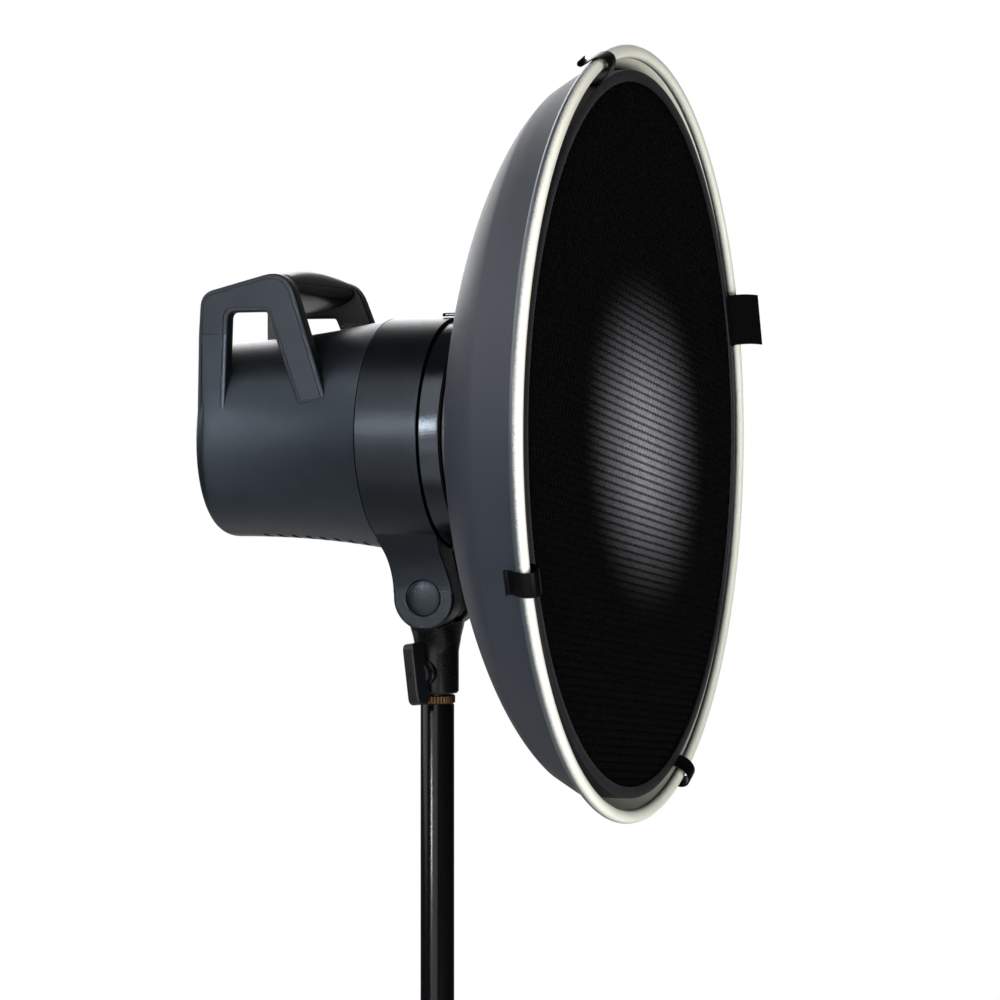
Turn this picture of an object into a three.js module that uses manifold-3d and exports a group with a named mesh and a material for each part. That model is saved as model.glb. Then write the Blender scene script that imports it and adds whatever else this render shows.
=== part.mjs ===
// Studio monolight flash head with a beauty dish, a honeycomb grid and a stand adapter.
// Millimetres. The origin is the centre of the stand socket's mouth, +X is the way the
// light points, +Y is the left side and +Z is up.

import * as THREE from 'three';
import { mergeVertices } from 'three/addons/utils/BufferGeometryUtils.js';
import Module from 'manifold-3d';

const wasm = await Module();
wasm.setup();

// ---------------------------------------------------------------- driving dimensions

const GAP = 0.3; // clearance between pieces that touch

const AXIS_Z = 151; // optical axis above the socket mouth
const PIVOT_DROP = 94.5; // tilt pivot below the optical axis

// Flash head. Lengths run along the optical axis, from the socket's centre line.
const REAR_X = -131.8;
const REAR_RADIUS = 58;
const REAR_CORNER = 13;
const REAR_DROP = 3.3; // the rear end sits this much low
const REAR_SQUARENESS = 0.5; // added to a round section's exponent of 2 at the rear end
const TAPER_X = -70; // control point of the body's tapered line
const TAPER_RADIUS = 59;
const SEAM_X = -25; // housing meets collar
const COLLAR_RADIUS = 68;
const COLLAR_FRONT_X = 12.8;
const COLLAR_BORE = 64.5;
const LOCK_FRONT_X = 25.5;
const LOCK_RADIUS = 66;
const WALL = 2.5;

// Carrying handle
const HANDLE_SEAM_Z = 57.2;
const HANDLE_THICK = 13;
const HANDLE_HALF_WIDTH = 57.5; // at the rear column's foot
const HANDLE_SPREAD = 5 / 70; // sideways growth towards the front
const HANDLE_LEAN = 5 / 73; // inward lean with height
const COLUMN_FRONT_X = -111;
const GRIP_X = -90;
const GRIP_HALF_DEPTH = 18;
const GRIP_HALF_SPAN = 39;
const GRIP_SEAM_Z = 85.5;
const GRIP_UNDER_Z = 69.5;
const GRIP_END_TOP_Z = 91.5;
const GRIP_CROWN = 5.5;

// Tilt bracket and stand adapter
const LUG_RADIUS = 18.75;
const LUG_INNER_Y = 9;
const LUG_OUTER_Y = 23;
const BOLT_RADIUS = 5;
const TONGUE_RADIUS = 17;
const TONGUE_HALF = 7.2;
const SADDLE_RADIUS = 20.2;
const SOCKET_RADIUS = 12.6;
const SPIGOT_BORE = 8.05; // takes a 16 mm stand spigot
const SPIGOT_DEPTH = 30;
const CLAMP_Z = 12.4;
const CLAMP_ANGLE = 255; // degrees from +X, seen from above
const CLAMP_TILT = 8; // degrees that the wing leans at rest

// Rear panel, measured from its own face; y and z from its centre
const PANEL_RADIUS = 44.7;
const PANEL_FACE = -0.5;
const WINDOW = { y: 0, z: 25, width: 38, height: 22 };
const KEY = { width: 11, height: 7 };
const KEYS = {
  menu_button: [20, 6],
  flash_test_button: [20, -5],
  modelling_lamp_button: [-20, 6],
  cell_button: [-20, -5],
};
const DIAL = { y: 0, z: 1, radius: 9 };
const ROCKER = { y: -15, z: -25, width: 13, height: 19, tilt: 8 };
const INLET = { y: 9, z: -25, width: 28, height: 20, depth: 24 };
const FUSE = { y: 33, z: -14, radius: 5 };
const SYNC = { y: -34, z: 0, radius: 4.5 };
const CELL = { y: 34, z: 2, radius: 4.5 };
const PANEL_SCREW_RING = 40;

// Dish, grid and clips
const RIM_X = 124; // plane through the centre of the rim bead
const BEAD_RING = 216.25;
const BEAD_RADIUS = 3.75;
const DISH_BASE_X = 29.3;
const DISH_HOLE = 52;
const DISH_BASE_RADIUS = 64;
const LIP_X = 94; // where the bowl turns into the lip
const LIP_RADIUS = 200;
const SHEET = 0.9;
const DEFLECTOR_X = 86;
const DEFLECTOR_RADIUS = 64;
const POST_RING = 56;
const GRID_BACK_X = 112;
const GRID_FRONT_X = 125;
const GRID_RADIUS = 206;
const GRID_OPENING = 199.5;
const CELL_PITCH = 28;
const CELL_WALL = 1.2;
const CLIP_WIDTH = 13.5;
const CLIP_THICK = 0.7;
const CLIP_ANGLES = { left: 20, top: 112, right: 200, bottom: 291 };
const TAB_ANGLE = 20.65;
const TAB_WIDTH = 33;
const TAB_THICK = 1.8;
const TAB_FRONT_X = 142.8;
const TAB_DROOP = 2.8; // how far its free end hangs

// ---------------------------------------------------------------- geometry helpers

const radians = THREE.MathUtils.degToRad;

// One closed, outward-facing body with shared vertices.
function closed(geometry) {
  const bare = geometry.clone();
  bare.deleteAttribute('normal');
  bare.deleteAttribute('uv');
  const merged = mergeVertices(bare, 1e-4);
  const place = merged.attributes.position;
  const source = merged.index.array;
  const kept = [];
  const a = new THREE.Vector3();
  const b = new THREE.Vector3();
  const c = new THREE.Vector3();
  let volume = 0;
  for (let i = 0; i < source.length; i += 3) {
    const [i0, i1, i2] = [source[i], source[i + 1], source[i + 2]];
    if (i0 === i1 || i1 === i2 || i2 === i0) continue;
    kept.push(i0, i1, i2);
    a.fromBufferAttribute(place, i0);
    b.fromBufferAttribute(place, i1);
    c.fromBufferAttribute(place, i2);
    volume += a.dot(b.cross(c));
  }
  if (volume < 0) kept.reverse();
  const result = new THREE.BufferGeometry();
  result.setAttribute('position', place);
  result.setIndex(kept);
  return result;
}

function toSolid(geometry) {
  const body = closed(geometry);
  return new wasm.Manifold(new wasm.Mesh({
    numProp: 3,
    vertProperties: new Float32Array(body.attributes.position.array),
    triVerts: new Uint32Array(body.index.array),
  }));
}

function toGeometry(solid) {
  const mesh = solid.getMesh();
  const result = new THREE.BufferGeometry();
  result.setAttribute('position', new THREE.BufferAttribute(mesh.vertProperties, 3));
  result.setIndex(new THREE.BufferAttribute(mesh.triVerts, 1));
  return result;
}

function join(first, ...others) {
  return toGeometry(others.reduce((sum, other) => sum.add(toSolid(other)), toSolid(first)));
}

function cut(body, ...tools) {
  return toGeometry(tools.reduce((left, tool) => left.subtract(toSolid(tool)), toSolid(body)));
}

// Revolved about the X axis; the profile is a list of [x, radius].
function lathe(profile, segments = 40) {
  const points = profile.map(([x, radius]) => new THREE.Vector2(radius, x));
  return closed(new THREE.LatheGeometry(points, segments).rotateZ(-Math.PI / 2));
}

function ring(x0, x1, inner, outer, segments = 40) {
  return lathe([[x0, inner], [x0, outer], [x1, outer], [x1, inner], [x0, inner]], segments);
}

function rodX(radius, x0, x1, segments = 24) {
  const rod = new THREE.CylinderGeometry(radius, radius, x1 - x0, segments);
  return rod.rotateZ(-Math.PI / 2).translate((x0 + x1) / 2, 0, 0);
}

function rodY(radius, y0, y1, segments = 24) {
  const rod = new THREE.CylinderGeometry(radius, radius, y1 - y0, segments);
  return rod.translate(0, (y0 + y1) / 2, 0);
}

function rodZ(radius, z0, z1, segments = 24) {
  const rod = new THREE.CylinderGeometry(radius, radius, z1 - z0, segments);
  return rod.rotateX(Math.PI / 2).translate(0, 0, (z0 + z1) / 2);
}

function block(x0, x1, y0, y1, z0, z1) {
  const box = new THREE.BoxGeometry(x1 - x0, y1 - y0, z1 - z0);
  return box.translate((x0 + x1) / 2, (y0 + y1) / 2, (z0 + z1) / 2);
}

// An outline of corners [u, v, cut]; each corner is rounded from cut before it to cut after it.
function outline(corners, curveSteps = 4) {
  const points = [];
  corners.forEach(([u, v, size = 0], i) => {
    const corner = new THREE.Vector2(u, v);
    if (size === 0) {
      points.push(corner);
      return;
    }
    const before = new THREE.Vector2(...corners[(i + corners.length - 1) % corners.length]);
    const after = new THREE.Vector2(...corners[(i + 1) % corners.length]);
    const start = corner.clone().add(before.sub(corner).setLength(size));
    const end = corner.clone().add(after.sub(corner).setLength(size));
    points.push(...new THREE.QuadraticBezierCurve(start, corner, end).getPoints(curveSteps));
  });
  return new THREE.Shape(points);
}

function roundedRectangle(width, height, corner, curveSteps = 3) {
  const [u, v] = [width / 2, height / 2];
  return outline([[-u, -v, corner], [u, -v, corner], [u, v, corner], [-u, v, corner]], curveSteps);
}

// A shape drawn in x and z, standing between y0 and y1.
function plateXZ(shape, y0, y1) {
  const plate = new THREE.ExtrudeGeometry(shape, { depth: y1 - y0, bevelEnabled: false });
  return plate.rotateX(Math.PI / 2).translate(0, y1, 0);
}

// A shape drawn in y and z, standing between x0 and x1.
function plateYZ(shape, x0, x1) {
  const plate = new THREE.ExtrudeGeometry(shape, { depth: x1 - x0, bevelEnabled: false });
  const turn = new THREE.Matrix4().makeBasis(
    new THREE.Vector3(0, 1, 0),
    new THREE.Vector3(0, 0, 1),
    new THREE.Vector3(1, 0, 0),
  );
  return plate.applyMatrix4(turn).translate(x0, 0, 0);
}

// A skin through rings of points, each ring as long as the others, with a fan at each end.
function loft(rings) {
  const count = rings[0].length;
  const points = rings.flat();
  const index = [];
  for (let row = 0; row < rings.length - 1; row += 1) {
    for (let i = 0; i < count; i += 1) {
      const a = row * count + i;
      const b = row * count + ((i + 1) % count);
      index.push(a, b, b + count, a, b + count, a + count);
    }
  }
  [0, rings.length - 1].forEach((row) => {
    const centre = new THREE.Vector3();
    rings[row].forEach((point) => centre.addScaledVector(point, 1 / count));
    const tip = points.push(centre) - 1;
    for (let i = 0; i < count; i += 1) {
      const a = row * count + i;
      const b = row * count + ((i + 1) % count);
      if (row === 0) index.push(tip, b, a);
      else index.push(tip, a, b);
    }
  });
  const skin = new THREE.BufferGeometry().setFromPoints(points);
  skin.setIndex(index);
  return closed(skin);
}

// Moves every point by what shift(point) changes in it.
function reshape(geometry, shift) {
  const place = geometry.attributes.position;
  const point = new THREE.Vector3();
  for (let i = 0; i < place.count; i += 1) {
    point.fromBufferAttribute(place, i);
    shift(point);
    place.setXYZ(i, point.x, point.y, point.z);
  }
  return geometry;
}

// A flat strip of even thickness that follows a curve drawn in x and y.
function stripShape(curve, thickness, steps) {
  const left = [];
  const right = [];
  for (let i = 0; i <= steps; i += 1) {
    const point = curve.getPointAt(i / steps);
    const along = curve.getTangentAt(i / steps);
    const side = new THREE.Vector2(-along.y, along.x).multiplyScalar(thickness / 2);
    left.push(point.clone().add(side));
    right.unshift(point.clone().sub(side));
  }
  return new THREE.Shape([...left, ...right]);
}

// Copies of a geometry, evenly spaced about the X axis.
function spreadX(makeOne, count, startAngle) {
  return Array.from({ length: count }, (unused, k) => (
    makeOne().rotateX(radians(startAngle + (360 / count) * k))
  ));
}

// ---------------------------------------------------------------- materials

function paint(color, roughness, metalness = 0) {
  return new THREE.MeshStandardMaterial({ color, roughness, metalness });
}

const MATERIALS = {
  housing: () => paint(0x2c333b, 0.5),
  collar: () => paint(0x262c32, 0.45),
  blackPlastic: () => paint(0x141517, 0.55),
  grip: () => paint(0x1f1b20, 0.6),
  rubber: () => paint(0x101010, 0.8),
  dishPaint: () => paint(0x363d45, 0.5, 0.1),
  blackMetal: () => paint(0x16181a, 0.45, 0.3),
  steel: () => paint(0xa8abad, 0.35, 1),
  aluminium: () => paint(0xb9bcbe, 0.4, 1),
  board: () => paint(0x1d5a36, 0.6),
  sleeve: () => paint(0x23395f, 0.45),
  copper: () => paint(0x9a5a32, 0.45, 0.8),
  glass: () => paint(0xdfe6e8, 0.15),
  whiteKey: () => paint(0xb7bcc0, 0.5),
};

function add(parent, name, material, geometry, position = [0, 0, 0]) {
  const mesh = new THREE.Mesh(closed(geometry), MATERIALS[material]());
  mesh.name = name;
  mesh.position.set(...position);
  parent.add(mesh);
  return mesh;
}

// ---------------------------------------------------------------- flash head shells

// The body's line from its rear face to the collar, inset towards the axis.
function bodyLine(inset) {
  const cornerX = REAR_X + REAR_CORNER;
  const cornerRing = REAR_RADIUS - REAR_CORNER;
  const size = REAR_CORNER - inset;
  const points = [];
  for (let k = 0; k <= 3; k += 1) {
    const turn = (k / 3) * (Math.PI / 2);
    points.push([cornerX - size * Math.cos(turn), cornerRing + size * Math.sin(turn)]);
  }
  const taper = new THREE.QuadraticBezierCurve(
    new THREE.Vector2(cornerX, REAR_RADIUS - inset),
    new THREE.Vector2(TAPER_X, TAPER_RADIUS - inset),
    new THREE.Vector2(SEAM_X, COLLAR_RADIUS - inset),
  );
  points.push(...taper.getPoints(4).slice(1).map((point) => [point.x, point.y]));
  return points;
}

// Squares the round body off towards its rear, outside the panel's opening, and lowers it.
function settle(geometry) {
  return reshape(geometry, (point) => {
    const share = THREE.MathUtils.clamp((SEAM_X - point.x) / (SEAM_X - REAR_X), 0, 1);
    const radius = Math.hypot(point.y, point.z);
    if (radius > 0) {
      const power = 2 + REAR_SQUARENESS * share;
      const sum = Math.abs(point.y / radius) ** power + Math.abs(point.z / radius) ** power;
      const opening = REAR_RADIUS - REAR_CORNER;
      const weight = THREE.MathUtils.clamp((radius - opening) / REAR_CORNER, 0, 1);
      const growth = 1 + weight * (sum ** (-1 / power) - 1);
      point.y *= growth;
      point.z *= growth;
    }
    point.z -= REAR_DROP * share;
  });
}

// The body as one full solid, inset towards the axis.
function bodySolid(inset) {
  const line = bodyLine(inset);
  return settle(lathe([[line[0][0], 0], ...line, [SEAM_X, 0]], 40));
}

// A side plate of the handle: a shape in x and z whose outer face leans with the body.
function sidePlate(shape, side) {
  return reshape(plateXZ(shape, -HANDLE_THICK, 0), (point) => {
    const spread = (point.x + 120) * HANDLE_SPREAD;
    point.y = side * (point.y + HANDLE_HALF_WIDTH + spread - point.z * HANDLE_LEAN);
  });
}

function rearHousing() {
  const outer = bodyLine(0);
  const shell = settle(lathe([...outer, ...bodyLine(WALL).reverse(), outer[0]], 40));
  const column = outline([
    [-127.8, 0],
    [COLUMN_FRONT_X - 0.6, 0],
    [COLUMN_FRONT_X, HANDLE_SEAM_Z],
    [-127.5, HANDLE_SEAM_Z],
  ]);
  const columns = [1, -1].map((side) => cut(sidePlate(column, side), bodySolid(WALL / 2)));
  const slots = [];
  for (let k = 0; k < 8; k += 1) {
    const x = -102 + k * 9;
    slots.push(block(x, x + 3.2, -24, 24, -75, -45));
  }
  return cut(join(shell, ...columns), ...slots);
}

function handleSide(side) {
  const shape = outline([
    [-127.5, HANDLE_SEAM_Z + GAP],
    [COLUMN_FRONT_X, HANDLE_SEAM_Z + GAP],
    [COLUMN_FRONT_X, 70.2, 4],
    [-84.4, 70.2, 2],
    [-63.8, 18.7, 1.5],
    [-46.2, 19.7, 1.5],
    [-72.4, 95.6, 16],
    [-126.2, 82.1, 5.5],
  ]);
  return cut(sidePlate(shape, side), bodySolid(-GAP));
}

// One half of the grip, above or below its seam; the top is crowned across the body.
function gripHalf(upper) {
  const rings = [];
  for (let row = 0; row <= 8; row += 1) {
    const y = GRIP_HALF_SPAN * (row / 4 - 1);
    const top = GRIP_END_TOP_Z + GRIP_CROWN * (1 - (y / GRIP_HALF_SPAN) ** 2);
    const seam = GRIP_SEAM_Z + (upper ? GAP / 2 : -GAP / 2);
    const reach = (upper ? top : GRIP_UNDER_Z) - seam;
    rings.push(Array.from({ length: 11 }, (unused, k) => {
      const turn = (k / 10) * Math.PI;
      const across = Math.sign(Math.cos(turn)) * Math.abs(Math.cos(turn)) ** 0.7;
      const rise = Math.sin(turn) ** 0.7;
      return new THREE.Vector3(GRIP_X + GRIP_HALF_DEPTH * across, y, seam + reach * rise);
    }));
  }
  return loft(rings);
}

function gripScrew() {
  return rodZ(2.8, -1.2, 0, 12).translate(GRIP_X, 0, GRIP_UNDER_Z - GAP);
}

function frontCollar() {
  const tube = ring(SEAM_X + GAP, COLLAR_FRONT_X, COLLAR_BORE, COLLAR_RADIUS, 40);
  const shape = new THREE.Shape();
  shape.moveTo(COLLAR_FRONT_X, -50);
  shape.lineTo(SEAM_X + GAP, -50);
  shape.lineTo(SEAM_X + GAP, -62);
  shape.quadraticCurveTo(-LUG_RADIUS, -72, -LUG_RADIUS, -PIVOT_DROP);
  shape.absarc(0, -PIVOT_DROP, LUG_RADIUS, Math.PI, 2 * Math.PI, false);
  shape.lineTo(COLLAR_FRONT_X, -COLLAR_RADIUS);
  const bore = rodX(COLLAR_BORE, -60, 60, 40);
  const lugs = [[LUG_INNER_Y, LUG_OUTER_Y], [-LUG_OUTER_Y, -LUG_INNER_Y]].map(([y0, y1]) => (
    cut(plateXZ(shape, y0, y1), bore)
  ));
  const holes = [
    rodY(BOLT_RADIUS + GAP, -30, 30),
    rodY(8.5, -30, -15),
    rodY(10.8, -30, -20.6, 24),
  ].map((hole) => hole.translate(0, 0, -PIVOT_DROP));
  return cut(join(tube, ...lugs), ...holes);
}

// ---------------------------------------------------------------- rear panel and controls

function hole(shape, { y, z }) {
  return plateYZ(shape, -4, 8).translate(0, y, z);
}

function roundHole(radius, { y, z }) {
  return rodX(radius, -4, 8).translate(0, y, z);
}

function rearPanel() {
  const disc = lathe([
    [PANEL_FACE, 0],
    [PANEL_FACE, PANEL_RADIUS],
    [WALL + GAP, PANEL_RADIUS],
    [WALL + GAP, PANEL_RADIUS + 1.2],
    [4.8, PANEL_RADIUS + 1.2],
    [4.8, 0],
  ], 32);
  const keyHoles = Object.values(KEYS).map(([y, z]) => (
    hole(roundedRectangle(KEY.width, KEY.height, 1.5), { y, z })
  ));
  return cut(
    disc,
    hole(roundedRectangle(WINDOW.width, WINDOW.height, 2), WINDOW),
    ...keyHoles,
    roundHole(3.4, DIAL),
    hole(roundedRectangle(ROCKER.width, ROCKER.height, 1), ROCKER),
    hole(roundedRectangle(INLET.width, INLET.height, 2), INLET),
    roundHole(FUSE.radius, FUSE),
    roundHole(SYNC.radius + GAP, SYNC),
    roundHole(CELL.radius + GAP, CELL),
  );
}

function mainsInlet() {
  const [width, height] = [INLET.width - 2 * GAP, INLET.height - 2 * GAP];
  const body = plateYZ(roundedRectangle(width, height, 2), -1.5, INLET.depth);
  const well = plateYZ(roundedRectangle(22.5, 14.5, 3), -3, 15.5);
  const pins = [[-7, 1.5], [0, -2.5], [7, 1.5]].map(([y, z]) => (
    block(3, 17, y - 1, y + 1, z - 2, z + 2)
  ));
  return join(cut(body, well), ...pins);
}

function dial() {
  return lathe([
    [-13, 0],
    [-13, DIAL.radius - 1.2],
    [-12, DIAL.radius],
    [PANEL_FACE - GAP, DIAL.radius],
    [PANEL_FACE - GAP, 3],
    [9, 3],
    [9, 0],
  ], 24);
}

function rocker() {
  const [half, height] = [ROCKER.width / 2 - 0.8, 8.1];
  const shape = new THREE.Shape([
    new THREE.Vector2(3, -height),
    new THREE.Vector2(3, height),
    new THREE.Vector2(-4.2, height),
    new THREE.Vector2(-3, 0),
    new THREE.Vector2(-4.2, -height),
  ]);
  return plateXZ(shape, -half, half).rotateY(radians(ROCKER.tilt));
}

function fuseCap() {
  return lathe([[-5.5, 0], [-5.5, 5.2], [-4.8, 6], [-0.8, 6], [-0.8, 4.6], [9, 4.6], [9, 0]], 20);
}

function cellLens() {
  const points = [[-4, 0]];
  for (let k = 1; k <= 4; k += 1) {
    const turn = (k / 4) * (Math.PI / 2);
    points.push([0.5 - CELL.radius * Math.cos(turn), CELL.radius * Math.sin(turn)]);
  }
  return lathe([...points, [6, CELL.radius], [6, 0]], 20);
}

function panelScrews() {
  const head = () => rodX(3, -2, PANEL_FACE - GAP, 12).translate(0, 0, PANEL_SCREW_RING);
  return spreadX(head, 4, 45);
}

function buildPanel(parent) {
  const panel = new THREE.Group();
  panel.position.set(REAR_X, 0, -REAR_DROP);
  parent.add(panel);
  add(panel, 'rear_panel', 'blackPlastic', rearPanel());
  const glass = roundedRectangle(WINDOW.width - 2 * GAP, WINDOW.height - 2 * GAP, 2);
  add(panel, 'display_window', 'glass', plateYZ(glass, -0.3, 1.8), [0, WINDOW.y, WINDOW.z]);
  add(panel, 'display_module', 'blackPlastic', block(5.2, 9, -21, 21, 12, 37), [0, WINDOW.y, 0]);
  add(panel, 'control_board', 'board', block(11, 12.6, -38, 38, -6.5, 34));
  Object.entries(KEYS).forEach(([name, [y, z]]) => {
    const cap = roundedRectangle(KEY.width - 2 * GAP, KEY.height - 2 * GAP, 1.3);
    add(panel, name, 'whiteKey', plateYZ(cap, -2.4, 9.2), [0, y, z]);
  });
  add(panel, 'control_dial', 'blackPlastic', dial(), [0, DIAL.y, DIAL.z]);
  add(panel, 'power_rocker', 'blackPlastic', rocker(), [3, ROCKER.y, ROCKER.z]);
  add(panel, 'mains_inlet', 'blackPlastic', mainsInlet(), [0, INLET.y, INLET.z]);
  add(panel, 'fuse_cap', 'blackPlastic', fuseCap(), [0, FUSE.y, FUSE.z]);
  add(panel, 'fuse_holder', 'blackPlastic', ring(5.1, 24, 5, 6.6, 20), [0, FUSE.y, FUSE.z]);
  add(panel, 'sync_socket', 'steel', ring(-1.5, 9, 1.75, SYNC.radius, 20), [0, SYNC.y, SYNC.z]);
  add(panel, 'photocell_lens', 'glass', cellLens(), [0, CELL.y, CELL.z]);
  panelScrews().forEach((head, k) => add(panel, `panel_screw_${k + 1}`, 'steel', head));
}

// ---------------------------------------------------------------- inside the head

const CHASSIS_X = -58;
const FAN = { x0: -56.2, x1: -41.2, half: 30, bore: 28.5 };

function fanFrame() {
  const frame = block(FAN.x0, FAN.x1, -FAN.half, FAN.half, -FAN.half, FAN.half);
  const hub = rodX(11, FAN.x1 - 2.5, FAN.x1, 20);
  const struts = spreadX(() => block(FAN.x1 - 2.5, FAN.x1, -1.5, 1.5, 9, FAN.bore + 1), 3, 0);
  return join(cut(frame, rodX(FAN.bore, -80, -20, 32)), hub, ...struts);
}

function fanImpeller() {
  const hub = rodX(10, FAN.x0 + 0.5, FAN.x1 - 3, 20);
  const middle = (FAN.x0 + FAN.x1) / 2 - 1.5;
  const blade = () => (
    block(-4.5, 4.5, -0.6, 0.6, 9, 27).rotateZ(radians(38)).translate(middle, 0, 0)
  );
  return join(hub, ...spreadX(blade, 7, 0));
}

function modellingLamp() {
  const glass = new THREE.CubicBezierCurve(
    new THREE.Vector2(8, 12.8),
    new THREE.Vector2(22, 21),
    new THREE.Vector2(58, 26),
    new THREE.Vector2(59, 0),
  );
  const bulb = glass.getPoints(8).map((point) => [point.x, point.y]);
  bulb[bulb.length - 1][1] = 0;
  return lathe([[-24, 0], [-24, 9], [-21, 12.8], ...bulb], 20);
}

const TUBE_RING = 30;
const TUBE_RADIUS = 4;
const TUBE_X = 26;
const TUBE_LEG_ANGLE = 10;

function flashTube() {
  const at = (x, degrees) => new THREE.Vector3(
    x,
    TUBE_RING * Math.sin(radians(degrees)),
    TUBE_RING * Math.cos(radians(degrees)),
  );
  const points = [at(-2, TUBE_LEG_ANGLE), at(10, TUBE_LEG_ANGLE), at(20, TUBE_LEG_ANGLE)];
  for (let angle = 25; angle <= 335; angle += 31) points.push(at(TUBE_X, angle));
  const end = 360 - TUBE_LEG_ANGLE;
  points.push(at(20, end), at(10, end), at(-2, end));
  const section = new THREE.Shape(new THREE.Path().absarc(0, 0, TUBE_RADIUS, 0, 2 * Math.PI)
    .getSpacedPoints(6).slice(0, 6));
  const path = new THREE.CatmullRomCurve3(points, false, 'centripetal');
  return new THREE.ExtrudeGeometry(section, { steps: 30, extrudePath: path });
}

function frontPlate() {
  const legs = [TUBE_LEG_ANGLE, -TUBE_LEG_ANGLE].map((angle) => (
    rodX(TUBE_RADIUS + 1.2, 0, 12, 16).translate(0, 0, TUBE_RING).rotateX(radians(-angle))
  ));
  return cut(rodX(COLLAR_BORE - 2 * GAP, 6, 8.5, 36), rodX(14.5, 0, 12), ...legs);
}

function bayonetMount() {
  const seat = lathe([
    [8.8, 50],
    [8.8, COLLAR_BORE - 2 * GAP],
    [10.8, COLLAR_BORE - 2 * GAP],
    [10.8, 57.2],
    [LOCK_FRONT_X - 1, 57.2],
    [LOCK_FRONT_X - 1, 50],
    [8.8, 50],
  ], 36);
  const slots = spreadX(() => block(14, 30, -6.5, 6.5, 45, 60), 3, 0);
  return cut(seat, ...slots);
}

function glassDome() {
  const line = (radius, tip) => {
    const curve = new THREE.CubicBezierCurve(
      new THREE.Vector2(44, radius),
      new THREE.Vector2(60, radius),
      new THREE.Vector2(tip, radius * 0.62),
      new THREE.Vector2(tip, 0),
    );
    return curve.getPoints(4).map((point) => [point.x, point.y]);
  };
  const outer = line(44, 72);
  const inner = line(42, 70).reverse();
  outer[outer.length - 1][1] = 0;
  inner[0][1] = 0;
  return lathe([...outer.slice().reverse(), [8.8, 44], [8.8, 42], ...inner.reverse()], 24);
}

function buildInside(head) {
  const chassis = cut(rodX(53, CHASSIS_X, CHASSIS_X + 1.5, 40), rodX(26, -70, -40, 32));
  add(head, 'chassis_plate', 'aluminium', chassis);
  add(head, 'fan_frame', 'blackPlastic', fanFrame());
  add(head, 'fan_impeller', 'blackPlastic', fanImpeller());
  [['capacitor_left', 22], ['capacitor_right', -22]].forEach(([name, y]) => {
    add(head, name, 'sleeve', rodX(17.5, -106, -62, 24), [0, y, -24]);
  });
  add(head, 'main_board', 'board', block(-104, -62, -44, 44, 0, 1.6));
  add(head, 'transformer', 'copper', block(-98, -70, -18, 18, 1.9, 28));
  add(head, 'front_plate', 'aluminium', frontPlate());
  add(head, 'bayonet_mount', 'aluminium', bayonetMount());
  const cup = [[-30, 0], [-30, 16], [5.7, 16], [5.7, 13.4], [-26, 13.4], [-26, 0]];
  add(head, 'lamp_socket', 'whiteKey', lathe(cup, 24));
  add(head, 'modelling_lamp', 'glass', modellingLamp());
  add(head, 'flash_tube', 'glass', flashTube());
  add(head, 'glass_dome', 'glass', glassDome());
}

// ---------------------------------------------------------------- tilt bracket hardware

function pivotBolt() {
  const shank = rodY(BOLT_RADIUS, -18, 29, 20);
  return join(shank, rodY(8, -20, -15.3, 6));
}

function pivotCap() {
  const points = [[0, 0], [0, 10.4], [2, 10.4], [2.9, 9.2], [3.3, 0]];
  return lathe(points, 32).rotateZ(-Math.PI / 2).translate(0, -20.9, 0);
}

function tiltHandle() {
  const hub = rodY(9.5, LUG_OUTER_Y + GAP, 30, 24);
  const bar = plateXZ(roundedRectangle(46, 12, 4), 28, 39).rotateY(radians(-45));
  return cut(join(hub, bar), rodY(BOLT_RADIUS + GAP, 20, 30, 20));
}

function lockRing() {
  const band = ring(COLLAR_FRONT_X + GAP, LOCK_FRONT_X, 57.5, LOCK_RADIUS, 40);
  const root = block(13.1, 24, -7, 7, 62, 69);
  return join(band, root, block(5, 24, -7, 7, 68.4, 70.4));
}

// ---------------------------------------------------------------- stand adapter and clamp

// An oval ring of points at one height.
function ovalRing(z, halfX, halfY) {
  return Array.from({ length: 24 }, (unused, k) => {
    const turn = (k / 24) * 2 * Math.PI;
    const power = halfY > halfX ? 0.75 : 1;
    const reach = (value) => Math.sign(value) * Math.abs(value) ** power;
    return new THREE.Vector3(halfX * reach(Math.cos(turn)), halfY * reach(Math.sin(turn)), z);
  });
}

// Turns a piece made along +X, at the origin, into the clamp's direction.
function towardsClamp(geometry) {
  return geometry.rotateZ(radians(CLAMP_ANGLE)).translate(0, 0, CLAMP_Z);
}

function standAdapter() {
  const pivotZ = AXIS_Z - PIVOT_DROP;
  const neck = loft([
    ovalRing(0, SOCKET_RADIUS - 1.5, SOCKET_RADIUS - 1.5),
    ovalRing(1.5, SOCKET_RADIUS, SOCKET_RADIUS),
    ovalRing(25, SOCKET_RADIUS, SOCKET_RADIUS),
    ovalRing(32, SOCKET_RADIUS, 15),
    ovalRing(37, SOCKET_RADIUS + 0.5, 20),
    ovalRing(42, SOCKET_RADIUS + 1, LUG_OUTER_Y),
  ]);
  const boss = towardsClamp(rodX(7.5, 4, 14.5));
  const lugRoom = [[TONGUE_HALF, 40], [-40, -TONGUE_HALF]].map(([y0, y1]) => (
    rodY(SADDLE_RADIUS, y0, y1, 36).translate(0, 0, pivotZ)
  ));
  const tongue = rodY(TONGUE_RADIUS, -TONGUE_HALF, TONGUE_HALF, 32).translate(0, 0, pivotZ);
  return cut(
    join(cut(join(neck, boss), ...lugRoom), tongue),
    rodY(BOLT_RADIUS + GAP, -40, 40).translate(0, 0, pivotZ),
    rodZ(SPIGOT_BORE, -1, SPIGOT_DEPTH, 24),
    towardsClamp(rodX(4.2, 0, 20, 20)),
  );
}

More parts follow.
